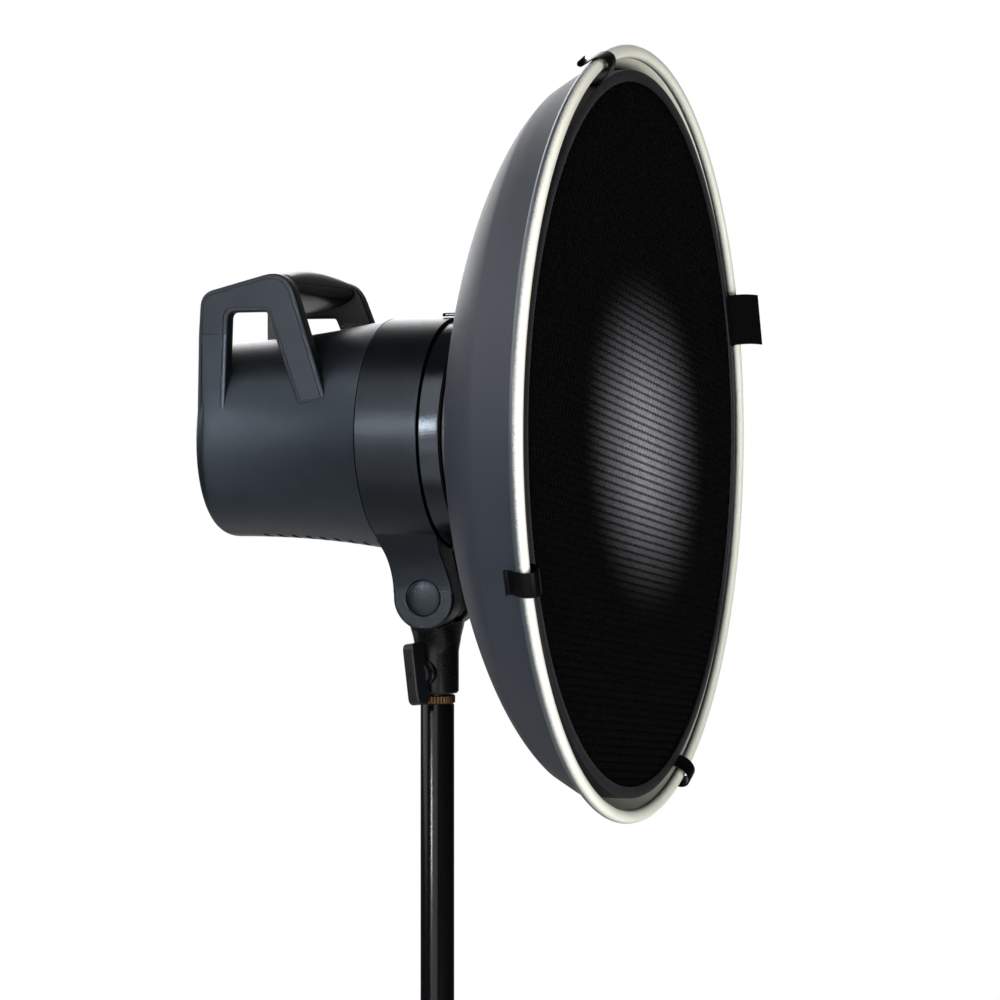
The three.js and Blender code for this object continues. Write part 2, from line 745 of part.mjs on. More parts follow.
function clampKnob() {
  const wing = plateYZ(roundedRectangle(12, 36, 4), 15, 23.5).rotateX(radians(CLAMP_TILT));
  return towardsClamp(join(wing, rodX(6, 14.8, 18, 20)));
}

// ---------------------------------------------------------------- dish

function dishShell() {
  const bowl = (inset) => new THREE.CubicBezierCurve(
    new THREE.Vector2(DISH_BASE_X + inset, DISH_BASE_RADIUS),
    new THREE.Vector2(50 + inset * 0.9, 124 - inset * 0.4),
    new THREE.Vector2(70 + inset * 0.8, 180 - inset * 0.6),
    new THREE.Vector2(LIP_X + inset * 0.5, LIP_RADIUS - inset * 0.8),
  ).getPoints(4).map((point) => [point.x, point.y]);
  const bead = [];
  for (let k = 0; k <= 6; k += 1) {
    const turn = radians(216 - k * 54.3);
    bead.push([RIM_X + BEAD_RADIUS * Math.cos(turn), BEAD_RING + BEAD_RADIUS * Math.sin(turn)]);
  }
  const start = [DISH_BASE_X, DISH_HOLE];
  return lathe([
    start,
    ...bowl(0),
    [106, 207],
    [119, 212.6],
    ...bead,
    [106 + SHEET / 2, 207 - SHEET],
    ...bowl(SHEET).reverse(),
    [DISH_BASE_X + SHEET, DISH_HOLE],
    start,
  ], 48);
}

function dishMountRing() {
  const sleeve = lathe([
    [14.5, 46.5],
    [14.5, 49.6],
    [LOCK_FRONT_X + GAP, 49.6],
    [LOCK_FRONT_X + GAP, 62],
    [DISH_BASE_X - GAP, 62],
    [DISH_BASE_X - GAP, 46.5],
    [14.5, 46.5],
  ], 36);
  const claws = spreadX(() => block(15, 19.5, -5.5, 5.5, 48, 56.3), 3, 0);
  return join(sleeve, ...claws);
}

function deflector() {
  return lathe([
    [DEFLECTOR_X, 0],
    [DEFLECTOR_X, 58],
    [DEFLECTOR_X - 2.8, DEFLECTOR_RADIUS],
    [DEFLECTOR_X - 1.8, DEFLECTOR_RADIUS + 0.6],
    [DEFLECTOR_X + SHEET, 58.6],
    [DEFLECTOR_X + SHEET, 0],
  ], 36);
}

// Three posts that stand on one clamping ring inside the bowl.
function deflectorPosts() {
  const base = DISH_BASE_X + SHEET + GAP;
  const post = () => rodX(2, base + 1, DEFLECTOR_X - GAP, 12).translate(0, 0, POST_RING);
  return join(ring(base, base + 1.8, DISH_HOLE, 60, 36), ...spreadX(post, 3, 30));
}

function buildDish(head) {
  const dish = new THREE.Group();
  head.add(dish);
  add(dish, 'dish_shell', 'dishPaint', dishShell());
  add(dish, 'dish_mount_ring', 'blackMetal', dishMountRing());
  add(dish, 'deflector_disc', 'whiteKey', deflector());
  add(dish, 'deflector_posts', 'steel', deflectorPosts());
  buildGrid(dish);
}

// ---------------------------------------------------------------- honeycomb grid

// Puts a piece drawn at the top of the ring, in x and z, at its angle round the light.
function roundTheLight(geometry, angle) {
  return geometry.rotateX(radians(angle - 90));
}

// The spring strip, in [x, radius]: along the ring, looped over the bead and hooked behind it.
function clip() {
  const foot = GRID_RADIUS + GAP + CLIP_THICK / 2;
  const crest = BEAD_RING + BEAD_RADIUS + 1.4;
  const line = [
    [GRID_BACK_X + 1, foot],
    [RIM_X - 4, foot],
    [RIM_X + 0.5, foot + 1.1],
    [RIM_X + 4.4, foot + 3.2],
    [RIM_X + 7, foot + 6.2],
    [RIM_X + 8.1, foot + 9.7],
    [RIM_X + 7.2, crest - 1.7],
    [RIM_X + 4.4, crest],
    [RIM_X + 1.1, crest],
    [RIM_X - 1.8, crest - 1.1],
    [RIM_X - 5, crest - 2.9],
    [RIM_X - 7.6, crest - 4.1],
    [RIM_X - 9.3, crest - 3.4],
    [RIM_X - 9.1, crest - 1.7],
  ];
  const curve = new THREE.SplineCurve(line.map(([x, radius]) => new THREE.Vector2(x, radius)));
  return plateXZ(stripShape(curve, CLIP_THICK, 24), -CLIP_WIDTH / 2, CLIP_WIDTH / 2);
}

// Doubled webbing fixed to the ring's face, in [x, radius], with its free end hanging a little.
function pullTab() {
  const root = GRID_FRONT_X + 0.4 + TAB_THICK / 2;
  const line = [
    [root, GRID_RADIUS - 5],
    [root + 0.3, GRID_RADIUS - 1.8],
    [root + 3.2, GRID_RADIUS + 1.2],
    [root + 8.2, GRID_RADIUS + 4.8],
    [root + 12.7, GRID_RADIUS + 6.6],
    [TAB_FRONT_X, GRID_RADIUS + 7.4],
  ];
  const curve = new THREE.SplineCurve(line.map(([x, radius]) => new THREE.Vector2(x, radius)));
  const strap = plateXZ(stripShape(curve, TAB_THICK, 14), -TAB_WIDTH / 2, TAB_WIDTH / 2);
  return reshape(roundTheLight(strap, TAB_ANGLE), (point) => {
    point.z -= (TAB_DROOP * (point.x - root)) / (TAB_FRONT_X - root);
  });
}

// A disc pierced by hexagonal cells.
function honeycombCore(radius, x0, x1) {
  const cellRadius = (CELL_PITCH - CELL_WALL) / Math.sqrt(3);
  const rowPitch = (CELL_PITCH * Math.sqrt(3)) / 2;
  const reach = radius - 2 * CELL_WALL;
  const hexagons = [];
  for (let row = -9; row <= 9; row += 1) {
    for (let column = -9; column <= 9; column += 1) {
      const y = (column + (row % 2 === 0 ? 0 : 0.5)) * CELL_PITCH;
      const z = row * rowPitch;
      if (Math.hypot(y, z) < reach + CELL_PITCH * 0.2) {
        hexagons.push(toSolid(rodX(cellRadius, x0 - 1, x1 + 1, 6).translate(0, y, z)));
      }
    }
  }
  const bore = toSolid(rodX(reach, x0 - 1, x1 + 1, 56));
  const cells = wasm.Manifold.union(hexagons).intersect(bore);
  return toGeometry(toSolid(rodX(radius, x0, x1, 56)).subtract(cells));
}

function buildGrid(dish) {
  const grid = new THREE.Group();
  dish.add(grid);
  const wall = 1.2;
  const frame = lathe([
    [GRID_BACK_X, GRID_RADIUS - wall],
    [GRID_BACK_X, GRID_RADIUS],
    [GRID_FRONT_X, GRID_RADIUS],
    [GRID_FRONT_X, GRID_OPENING],
    [GRID_FRONT_X - wall, GRID_OPENING],
    [GRID_FRONT_X - wall, GRID_RADIUS - wall],
    [GRID_BACK_X, GRID_RADIUS - wall],
  ], 56);
  add(grid, 'grid_ring', 'blackMetal', frame);
  const coreFront = GRID_FRONT_X - wall - GAP;
  const core = honeycombCore(GRID_RADIUS - wall - 2 * GAP, GRID_BACK_X + 1, coreFront);
  add(grid, 'honeycomb_core', 'blackMetal', core);
  Object.entries(CLIP_ANGLES).forEach(([side, angle]) => {
    add(grid, `grid_clip_${side}`, 'blackMetal', roundTheLight(clip(), angle));
  });
  add(grid, 'pull_tab', 'rubber', pullTab());
}

// ---------------------------------------------------------------- assembly

function buildStand(part) {
  add(part, 'stand_adapter', 'blackMetal', standAdapter());
  add(part, 'clamp_knob', 'blackPlastic', clampKnob());
  add(part, 'clamp_pad', 'steel', towardsClamp(rodX(3.8, 8.4, 14.4, 20)));
}

function buildHead(part) {
  const head = new THREE.Group();
  head.position.set(0, 0, AXIS_Z);
  part.add(head);
  add(head, 'rear_housing', 'housing', rearHousing());
  add(head, 'front_collar', 'collar', frontCollar());
  add(head, 'handle_side_left', 'housing', handleSide(1));
  add(head, 'handle_side_right', 'housing', handleSide(-1));
  add(head, 'grip_top', 'grip', gripHalf(true));
  add(head, 'grip_bottom', 'grip', gripHalf(false));
  add(head, 'grip_screw', 'steel', gripScrew());
  add(head, 'lock_ring', 'collar', lockRing());
  const pivot = [0, 0, -PIVOT_DROP];
  add(head, 'pivot_bolt', 'steel', pivotBolt(), pivot);
  add(head, 'pivot_cap', 'collar', pivotCap(), pivot);
  add(head, 'tilt_handle', 'blackPlastic', tiltHandle(), pivot);
  [['friction_washer_left', 7.5], ['friction_washer_right', -8.7]].forEach(([name, y]) => {
    const washer = cut(rodY(15, y, y + 1.2, 24), rodY(BOLT_RADIUS + GAP, y - 1, y + 3, 20));
    add(head, name, 'steel', washer, pivot);
  });
  buildPanel(head);
  buildInside(head);
  buildDish(head);
}

const part = new THREE.Group();
buildStand(part);
buildHead(part);

export default part;
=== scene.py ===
import math

import bmesh
import bpy
import numpy as np
from mathutils import Matrix, Vector


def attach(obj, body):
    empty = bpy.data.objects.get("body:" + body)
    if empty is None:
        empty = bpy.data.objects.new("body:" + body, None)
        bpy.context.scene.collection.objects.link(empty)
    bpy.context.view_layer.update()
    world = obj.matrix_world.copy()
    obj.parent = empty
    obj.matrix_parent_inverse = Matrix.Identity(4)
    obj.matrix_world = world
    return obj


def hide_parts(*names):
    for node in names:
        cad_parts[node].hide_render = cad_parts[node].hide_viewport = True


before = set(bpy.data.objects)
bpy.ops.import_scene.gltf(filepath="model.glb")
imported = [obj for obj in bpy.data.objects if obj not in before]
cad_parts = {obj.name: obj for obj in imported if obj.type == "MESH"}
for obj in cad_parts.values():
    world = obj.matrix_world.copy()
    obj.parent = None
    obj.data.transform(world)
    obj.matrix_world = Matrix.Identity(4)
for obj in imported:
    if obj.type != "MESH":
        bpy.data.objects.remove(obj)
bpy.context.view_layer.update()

# ---------------------------------------------------------------- dimensions, mm

MM = 0.001
GAP = 0.3  # seam between two pieces
AXIS_Z = 151.0  # the light's axis, above the socket's mouth
PIVOT_Z = 56.5
REAR_X, REAR_RADIUS, REAR_CORNER, REAR_DROP, REAR_SQUARENESS = -131.8, 58.0, 8.0, 3.3, 0.5
PANEL_OPENING, PANEL_STAND = 45.0, 1.2
TAPER_X, TAPER_RADIUS = -70.0, 59.0
SEAM_X, COLLAR_RADIUS, COLLAR_FRONT_X, COLLAR_BORE = -25.0, 68.0, 12.8, 64.5
LOCK_FRONT_X, LOCK_RADIUS = 25.5, 66.0
WALL = 2.5
HANDLE_SEAM_Z, HANDLE_THICK, HANDLE_HALF_WIDTH = 57.2, 9.0, 57.5
HANDLE_SPREAD, HANDLE_LEAN = 5 / 70, 5 / 73
GRIP_X, GRIP_Z, GRIP_HALF_DEPTH, GRIP_TOP, GRIP_BOTTOM = -90.0, 83.6, 18.5, 6.8, 8.0
GRIP_HALF_SPAN, GRIP_CROWN = 43.0, 4.8
GRIP_LEAN, GRIP_SQUARENESS = 14.0, 0.7
LUG_RADIUS, LUG_INNER_Y, LUG_OUTER_Y = 18.75, 9.0, 23.0
LUG_CENTRE_Z = PIVOT_Z - AXIS_Z
FILLET_BOTTOM, FILLET_TOP, FILLET_REACH, FILLET_POWER, FILLET_STEPS = -92.0, -53.0, 16.6, 1.8, 24
CLAMP_Z, CLAMP_ANGLE, CLAMP_TILT = 12.4, 255.0, 8.0
RIM_X, BEAD_RING, BEAD_RADIUS = 124.0, 216.25, 3.75
GRID_BACK_X, GRID_FRONT_X, GRID_RADIUS, GRID_OPENING = 112.0, 125.0, 206.0, 199.5
GRID_SPLIT, GRID_SPLIT_GAP = 110.5, 0.16
CELL_PITCH, CELL_ROW_PITCH, CELL_WALL, CELL_REACH, CELL_TURN = 5.52, 4.39, 0.15, 201.0, -7.0
CLIP_WIDTH, CLIP_THICK = 13.5, 0.7
CLIP_ANGLES = {"left": 20, "top": 112, "right": 200, "bottom": 291}
TAB_ANGLE, TAB_WIDTH, TAB_THICK, TAB_FRONT_X, TAB_DROOP = 20.65, 33.0, 1.8, 142.8, 2.8

# ---------------------------------------------------------------- shapes


class Shape:
    """Vertices in millimetres, faces as lists of vertex numbers, and each face's material number."""

    def __init__(self, verts, faces, tags=None):
        self.verts = np.array(verts, float).reshape(-1, 3)
        self.faces = faces
        self.tags = tags if tags is not None else [0] * len(faces)

    def moved(self, x=0.0, y=0.0, z=0.0):
        return Shape(self.verts + (x, y, z), self.faces, self.tags)

    def turned(self, axis, degrees):
        turn = np.array(Matrix.Rotation(math.radians(degrees), 3, axis))
        return Shape(self.verts @ turn.T, self.faces, self.tags)

    def bent(self, change):
        return Shape([change(*v) for v in self.verts], self.faces, self.tags)


def together(*shapes):
    verts, faces, tags, start = [], [], [], 0
    for s in shapes:
        verts.append(s.verts)
        faces += [[start + i for i in f] for f in s.faces]
        tags += s.tags
        start += len(s.verts)
    return Shape(np.concatenate(verts), faces, tags)


def skin(points, wrap_rows=False, wrap_columns=True, caps=True, tag=None):
    """A closed skin over rows of points; tag(column) gives a face's material."""
    rows, columns = len(points), len(points[0])
    faces, tags = [], []
    for a in range(rows if wrap_rows else rows - 1):
        for b in range(columns if wrap_columns else columns - 1):
            a2, b2 = (a + 1) % rows, (b + 1) % columns
            faces.append([a * columns + b, a * columns + b2, a2 * columns + b2, a2 * columns + b])
            tags.append(tag(b) if tag else 0)
    if caps and not wrap_rows:
        faces += [list(range(columns)), [(rows - 1) * columns + b for b in range(columns)]]
        tags += [0, 0]
    return Shape([p for row in points for p in row], faces, tags)


def lathe(profile, segments=128, closed=True, tag=None, swell=None):
    """Revolved about the X axis; the profile is a list of (x, radius). swell(angle, k) adds to a radius."""
    rows = []
    for k in range(segments):
        turn = 2 * math.pi * k / segments
        row = []
        for i, (x, radius) in enumerate(profile):
            r = radius + (swell(turn, i) if swell else 0)
            row.append((x, r * math.cos(turn), r * math.sin(turn)))
        rows.append(row)
    return skin(rows, wrap_rows=True, wrap_columns=closed, tag=tag)


def bezier(points, steps):
    """A quadratic or cubic Bezier curve as steps + 1 points."""
    found = []
    for k in range(steps + 1):
        level = [np.array(p, float) for p in points]
        t = k / steps
        while len(level) > 1:
            level = [a * (1 - t) + b * t for a, b in zip(level, level[1:])]
        found.append(tuple(level[0]))
    return found


def arc(u, v, radius, start, end, steps):
    turns = [math.radians(start + (end - start) * k / steps) for k in range(steps + 1)]
    return [(u + radius * math.cos(t), v + radius * math.sin(t)) for t in turns]


def smooth_line(points, steps):
    """A Catmull-Rom curve through points, steps to each stretch."""
    ends = [2 * np.array(points[0]) - points[1], *map(np.array, points)]
    ends.append(2 * ends[-1] - ends[-2])
    found = []
    for a, b, c, d in zip(ends, ends[1:], ends[2:], ends[3:]):
        for k in range(steps):
            t = k / steps
            found.append(0.5 * (2 * b + (c - a) * t + (2 * a - 5 * b + 4 * c - d) * t * t
                                + (3 * b - a - 3 * c + d) * t ** 3))
    return [tuple(p) for p in found] + [tuple(points[-1])]


def ccw(corners):
    area = sum(a[0] * b[1] - b[0] * a[1] for a, b in zip(corners, corners[1:] + corners[:1]))
    return corners if area > 0 else corners[::-1]


def outline(corners, inset=0.0, steps=6):
    """The outline through corners (u, v, cut), moved inwards by inset. A corner is rounded from cut
    before it to cut after it, and the rounding tightens or opens as the outline moves in."""
    corners = ccw([tuple(c) + (0.0,) * (3 - len(c)) for c in corners])
    count = len(corners)
    place = [np.array(c[:2]) for c in corners]
    moved, cuts = [], []
    for i, (u, v, size) in enumerate(corners):
        before = place[i] - place[i - 1]
        after = place[(i + 1) % count] - place[i]
        before, after = before / np.hypot(*before), after / np.hypot(*after)
        n1, n2 = np.array((-before[1], before[0])), np.array((-after[1], after[0]))
        moved.append(place[i] + (n1 + n2) / (1 + n1 @ n2) * inset)
        cross = before[0] * after[1] - before[1] * after[0]
        half = math.tan(abs(math.atan2(cross, before @ after)) / 2)
        cuts.append(size and max(size - math.copysign(inset * half, cross), 0.12))
    points = []
    for i in range(count):
        if not cuts[i]:
            points.append(tuple(moved[i]))
            continue
        to_before = moved[i - 1] - moved[i]
        to_after = moved[(i + 1) % count] - moved[i]
        start = moved[i] + to_before / np.hypot(*to_before) * cuts[i]
        end = moved[i] + to_after / np.hypot(*to_after) * cuts[i]
        points += bezier([start, moved[i], end], steps)
    return points


def rectangle(width, height, cut):
    u, v = width / 2, height / 2
    return [(-u, -v, cut), (u, -v, cut), (u, v, cut), (-u, v, cut)]


def circle(radius, count=48):
    return [(radius * math.cos(2 * math.pi * k / count),
             radius * math.sin(2 * math.pi * k / count)) for k in range(count)]


def hexagon(radius, count=48):
    """A hexagon with as many points as a circle of count, in step with it."""
    return [(u / reach, v / reach) for u, v, reach in (
        (u, v, math.cos((math.atan2(v, u) % (math.pi / 3)) - math.pi / 6) / math.cos(math.pi / 6))
        for u, v in circle(radius, count))]


def edge(h0, h1, radius, steps=4):
    """An edge profile (inset, height) from h0 to h1, rounded at both ends."""
    way = math.copysign(1, h1 - h0)
    turns = [math.pi / 2 * k / steps for k in range(steps + 1)]
    start = [(radius * (1 - math.sin(t)), h0 + way * radius * (1 - math.cos(t))) for t in turns]
    end = [(radius * (1 - math.cos(t)), h1 - way * radius * (1 - math.sin(t))) for t in turns]
    return start + end


def plate(corners, profile, place, steps=6):
    """A plate with a shaped edge: its outline at each (inset, height) of the profile."""
    return skin([[place(u, v, h) for u, v in outline(corners, inset, steps)] for inset, h in profile])


def along_x(u, v, h):
    return (h, u, v)


def along_y(u, v, h):
    return (u, h, v)


def along_z(u, v, h):
    return (u, v, h)


def stacked(rings, place):
    """A skin through rings, each a list of (u, v) and a height."""
    return skin([[place(u, v, h) for u, v in ring] for ring, h in rings])


def rod(radius, h0, h1, place, bevel=0.3, count=48):
    steps = [(radius - bevel, h0), (radius, h0 + bevel), (radius, h1 - bevel), (radius - bevel, h1)]
    return stacked([(circle(r, count), h) for r, h in steps], place)


def spread_x(shape, count):
    return together(*(shape.turned("X", 360 * k / count) for k in range(count)))


# ---------------------------------------------------------------- objects

SHARP = math.radians(32)


def to_object(name, shape):
    mesh = bpy.data.meshes.new(name)
    mesh.from_pydata([tuple(v) for v in shape.verts * MM], [], shape.faces)
    mesh.polygons.foreach_set("material_index", shape.tags)
    work = bmesh.new()
    work.from_mesh(mesh)
    bmesh.ops.remove_doubles(work, verts=work.verts, dist=2e-6)
    bmesh.ops.dissolve_degenerate(work, edges=work.edges, dist=1e-6)
    bmesh.ops.recalc_face_normals(work, faces=work.faces)
    work.to_mesh(mesh)
    work.free()
    obj = bpy.data.objects.new(name, mesh)
    bpy.context.scene.collection.objects.link(obj)
    return obj


def taken(obj):
    """The shape of a work object, which is removed."""
    mesh = obj.data
    shape = Shape([tuple(v.co / MM) for v in mesh.vertices], [list(p.vertices) for p in mesh.polygons])
    bpy.data.objects.remove(obj)
    return shape


def combine(base, others, operation):
    """Boolean of the object base with shapes, applied."""
    for other in others:
        tool = to_object("tool", other)
        step = base.modifiers.new("step", "BOOLEAN")
        step.operation, step.object, step.solver = operation, tool, "EXACT"
        bpy.context.view_layer.update()
        done = bpy.data.meshes.new_from_object(base.evaluated_get(bpy.context.evaluated_depsgraph_get()))
        base.modifiers.clear()
        base.data = done
        bpy.data.objects.remove(tool)
    return base


def piece(name, shape, materials, body, replaces=(), add=(), cut=(), keep=(), flat=False):
    """Makes a piece of the object. add, cut and keep are shapes joined to it, taken from it, or
    the room it is kept to; flat gives its large faces flat shading beside rounded edges."""
    obj = to_object(name, shape)
    combine(obj, add, "UNION")
    combine(obj, keep, "INTERSECT")
    combine(obj, cut, "DIFFERENCE")
    obj.name = obj.data.name = name
    for material in materials if isinstance(materials, (list, tuple)) else [materials]:
        obj.data.materials.append(material)
    obj.data.shade_smooth()
    obj.data.set_sharp_from_angle(angle=SHARP)
    if flat:
        obj.modifiers.new("flat_faces", "WEIGHTED_NORMAL").keep_sharp = True
    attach(obj, body)
    if replaces:
        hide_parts(*([replaces] if isinstance(replaces, str) else replaces))
    return obj


# ---------------------------------------------------------------- materials


def srgb(red, green, blue):
    def linear(value):
        value /= 255
        return value / 12.92 if value <= 0.04045 else ((value + 0.055) / 1.055) ** 2.4
    return (linear(red), linear(green), linear(blue), 1.0)


ROUGHNESS_SPREAD = 0.06
HAMMER_SIZE, WEAVE_SIZE = 1.7, 1.3
WAVE_PERIOD = 0.314  # the distance between the bands of a wave texture of scale 1, in metres


def finish(name, colour, roughness, mottle=0.12, spot=12.0, grain=0.6, depth=0.012, pattern=None,
           turn=(0, 0, 0), fade=None, **sockets):
    """A procedural finish: colour that varies over spots, roughness that varies over grains, and a
    bump of that grain. Sizes are in mm. pattern is hammered, weave or brushed.
    fade is (colour, x0, x1): an overspray of another colour from x0 back, thinning out to x1."""
    material = bpy.data.materials.new(name)
    material.use_nodes = True
    nodes, links = material.node_tree.nodes, material.node_tree.links
    shader = nodes["Principled BSDF"]
    for socket, value in sockets.items():
        shader.inputs[socket.replace("_", " ")].default_value = value
    place = nodes.new("ShaderNodeTexCoord")
    mapping = nodes.new("ShaderNodeMapping")
    mapping.inputs["Rotation"].default_value = [math.radians(a) for a in turn]
    links.new(place.outputs["Object"], mapping.inputs["Vector"])

    def noise(size, detail, stretch=(1, 1, 1)):
        scale = nodes.new("ShaderNodeMapping")
        scale.inputs["Scale"].default_value = stretch
        links.new(mapping.outputs["Vector"], scale.inputs["Vector"])
        node = nodes.new("ShaderNodeTexNoise")
        node.inputs["Scale"].default_value = 1 / (size * MM)
        node.inputs["Detail"].default_value = detail
        links.new(scale.outputs["Vector"], node.inputs["Vector"])
        return node.outputs["Fac"]

    def ranged(source, low, high, start=0.3, end=0.7):
        node = nodes.new("ShaderNodeMapRange")
        for socket, value in zip(("From Min", "From Max", "To Min", "To Max"), (start, end, low, high)):
            node.inputs[socket].default_value = value
        links.new(source, node.inputs["Value"])
        return node.outputs["Result"]

    ramp = nodes.new("ShaderNodeValToRGB")
    shades = ((0.35, 1 - mottle), (0.65, 1 + mottle))
    for element, (position, gain) in zip(ramp.color_ramp.elements, shades):
        element.position = position
        element.color = [min(c * gain, 1) for c in srgb(*colour)[:3]] + [1]
    links.new(noise(spot, 4.0), ramp.inputs["Fac"])
    fine = noise(grain, 2.0, (0.03, 1, 1) if pattern == "brushed" else (1, 1, 1))
    paint = ramp.outputs["Color"]
    if fade:
        other, x0, x1 = fade
        split, reach, mix = (nodes.new(f"ShaderNode{kind}") for kind in ("SeparateXYZ", "Math", "MixRGB"))
        links.new(place.outputs["Object"], split.inputs[0])
        reach.operation = "MULTIPLY_ADD"
        reach.inputs[1].default_value = (x1 - x0) * MM * 0.8
        links.new(fine, reach.inputs[0])
        links.new(split.outputs["X"], reach.inputs[2])
        links.new(ranged(reach.outputs["Value"], 0.0, 1.0, x0 * MM, x1 * MM), mix.inputs["Fac"])
        mix.inputs[1].default_value = srgb(*other)
        links.new(paint, mix.inputs[2])
        paint = mix.outputs["Color"]
    links.new(paint, shader.inputs["Base Color"])
    rough = ranged(fine, roughness - ROUGHNESS_SPREAD, roughness + ROUGHNESS_SPREAD)
    links.new(rough, shader.inputs["Roughness"])
    height = ranged(fine, 0.0, depth * MM)
    if pattern == "hammered":
        cells = nodes.new("ShaderNodeTexVoronoi")
        cells.feature = "SMOOTH_F1"
        cells.inputs["Scale"].default_value = 1 / (HAMMER_SIZE * MM)
        links.new(mapping.outputs["Vector"], cells.inputs["Vector"])
        height = ranged(cells.outputs["Distance"], 0.0, 0.14 * MM, 0.0, 0.8)
    if pattern == "weave":
        waves = []
        for axis in ("X", "Y"):
            wave = nodes.new("ShaderNodeTexWave")
            wave.bands_direction = axis
            wave.inputs["Scale"].default_value = WAVE_PERIOD / (WEAVE_SIZE * MM)
            wave.inputs["Distortion"].default_value = 0.3
            links.new(mapping.outputs["Vector"], wave.inputs["Vector"])
            waves.append(wave.outputs["Fac"])
        both = nodes.new("ShaderNodeMath")
        both.operation = "MULTIPLY"
        links.new(waves[0], both.inputs[0])
        links.new(waves[1], both.inputs[1])
        height = ranged(both.outputs["Value"], 0.0, 0.25 * MM, 0.0, 1.0)
    bump = nodes.new("ShaderNodeBump")
    bump.inputs["Distance"].default_value = 1.0
    links.new(height, bump.inputs["Height"])
    links.new(bump.outputs["Normal"], shader.inputs["Normal"])
    return material


M = {
    "housing": finish("housing_paint", (43, 49, 55), 0.36, mottle=0.05, depth=0.02, Metallic=0.9),
    "collar": finish("collar_plastic", (28, 32, 36), 0.34, mottle=0.05, grain=0.8, depth=0.035, Metallic=0.9),
    "handle": finish("handle_paint", (38, 42, 47), 0.5, mottle=0.05, depth=0.02, Metallic=0.9),
    "satin": finish("satin_lacquer", (36, 40, 44), 0.13, mottle=0.06, grain=0.7, depth=0.03, Metallic=0.9),
    "black": finish("black_plastic", (14, 15, 17), 0.4, depth=0.02, Specular_IOR_Level=0.25),
    "tube": finish("tube_lacquer", (6, 6, 8), 0.16, mottle=0.1, depth=0.004, Specular_IOR_Level=0.14),
    "matt_black": finish("matt_black_plastic", (13, 13, 14), 0.6, depth=0.03),
    "grip": finish("grip_rubber", (27, 22, 29), 0.38, mottle=0.08, depth=0.02),
    "dish": finish("dish_paint", (30, 34, 41), 0.5, mottle=0.04, spot=30, grain=0.5, depth=0.03,
                   Specular_IOR_Level=0.2),
    "cream": finish("dish_inner_paint", (236, 235, 218), 0.4, mottle=0.03, spot=20, pattern="hammered"),
    "bead": finish("rim_paint", (240, 240, 226), 0.35, mottle=0.02, spot=20, depth=0.02,
                   fade=((44, 49, 56), 125.0, 128.2)),
    "ring": finish("ring_paint", (22, 23, 27), 0.45, depth=0.02),
    "foil": finish("black_foil", (5, 5, 6), 0.5, mottle=0.3, spot=7, grain=1.5, depth=0.02,
                   Specular_IOR_Level=0.12),
    "clip": finish("spring_steel_black", (4, 4, 5), 0.34, depth=0.01, Specular_IOR_Level=0.05),
    "webbing": finish("webbing", (6, 6, 6), 0.9, grain=0.4, pattern="weave", turn=(-69.35, 0, 0),
                      Specular_IOR_Level=0.05),
    "cast": finish("cast_black", (9, 10, 11), 0.3, mottle=0.1, grain=0.9, depth=0.02,
                   Specular_IOR_Level=0.14),
    "steel": finish("steel", (176, 178, 180), 0.28, mottle=0.05, pattern="brushed", Metallic=1.0),
    "aluminium": finish("aluminium", (190, 192, 194), 0.34, mottle=0.04, pattern="brushed", Metallic=1.0),
    "brass": finish("brass", (74, 58, 38), 0.45, mottle=0.1, Metallic=1.0),
    "board": finish("circuit_board", (24, 82, 50), 0.45, mottle=0.25, spot=4),
    "sleeve": finish("capacitor_sleeve", (34, 52, 92), 0.35, mottle=0.06, Coat_Weight=0.3),
    "copper": finish("copper_winding", (156, 88, 48), 0.35, mottle=0.2, spot=3, Metallic=0.9),
    "ceramic": finish("ceramic", (222, 218, 208), 0.5, mottle=0.05),
    "key": finish("key_grey", (158, 163, 168), 0.5, mottle=0.04, depth=0.02),
    "frosted": finish("frosted_glass", (238, 238, 232), 0.45, mottle=0.03, Transmission_Weight=0.5),
    "lens": finish("red_lens", (110, 14, 16), 0.14, mottle=0.1, Transmission_Weight=0.35),
    "screen": finish("display_glass", (14, 17, 20), 0.1, mottle=0.1, spot=30, depth=0.002),
}

# ---------------------------------------------------------------- flash head shells


def body_line(inset, arc_steps=10, taper_steps=22):
    """The body's line from its rear face to the collar, as (x, radius)."""
    x, ring_radius = REAR_X + PANEL_STAND + REAR_CORNER, REAR_RADIUS - REAR_CORNER
    size = REAR_CORNER - inset
    corner = arc(x, ring_radius, size, 180, 90, arc_steps)
    taper = bezier([(x, REAR_RADIUS - inset), (TAPER_X, TAPER_RADIUS - inset),
                    (SEAM_X, COLLAR_RADIUS - inset)], taper_steps)
    return [(corner[0][0], PANEL_OPENING), *corner, *taper[1:]]


def settle(x, y, z):
    """Squares the round body off towards its rear and lowers it."""
    share = min(max((SEAM_X - x) / (SEAM_X - REAR_X), 0), 1)
    radius = math.hypot(y, z)
    if radius > 0:
        power = 2 + REAR_SQUARENESS * share
        total = abs(y / radius) ** power + abs(z / radius) ** power
        weight = min(max((radius - REAR_RADIUS + REAR_CORNER) / REAR_CORNER, 0), 1)
        growth = 1 + weight * (total ** (-1 / power) - 1)
        y, z = y * growth, z * growth
    return (x, y, z - REAR_DROP * share)


def body_solid(inset):
    line = body_line(inset)
    return lathe([(line[0][0], 0), *line, (SEAM_X, 0)], 144, closed=False).bent(settle).moved(z=AXIS_Z)


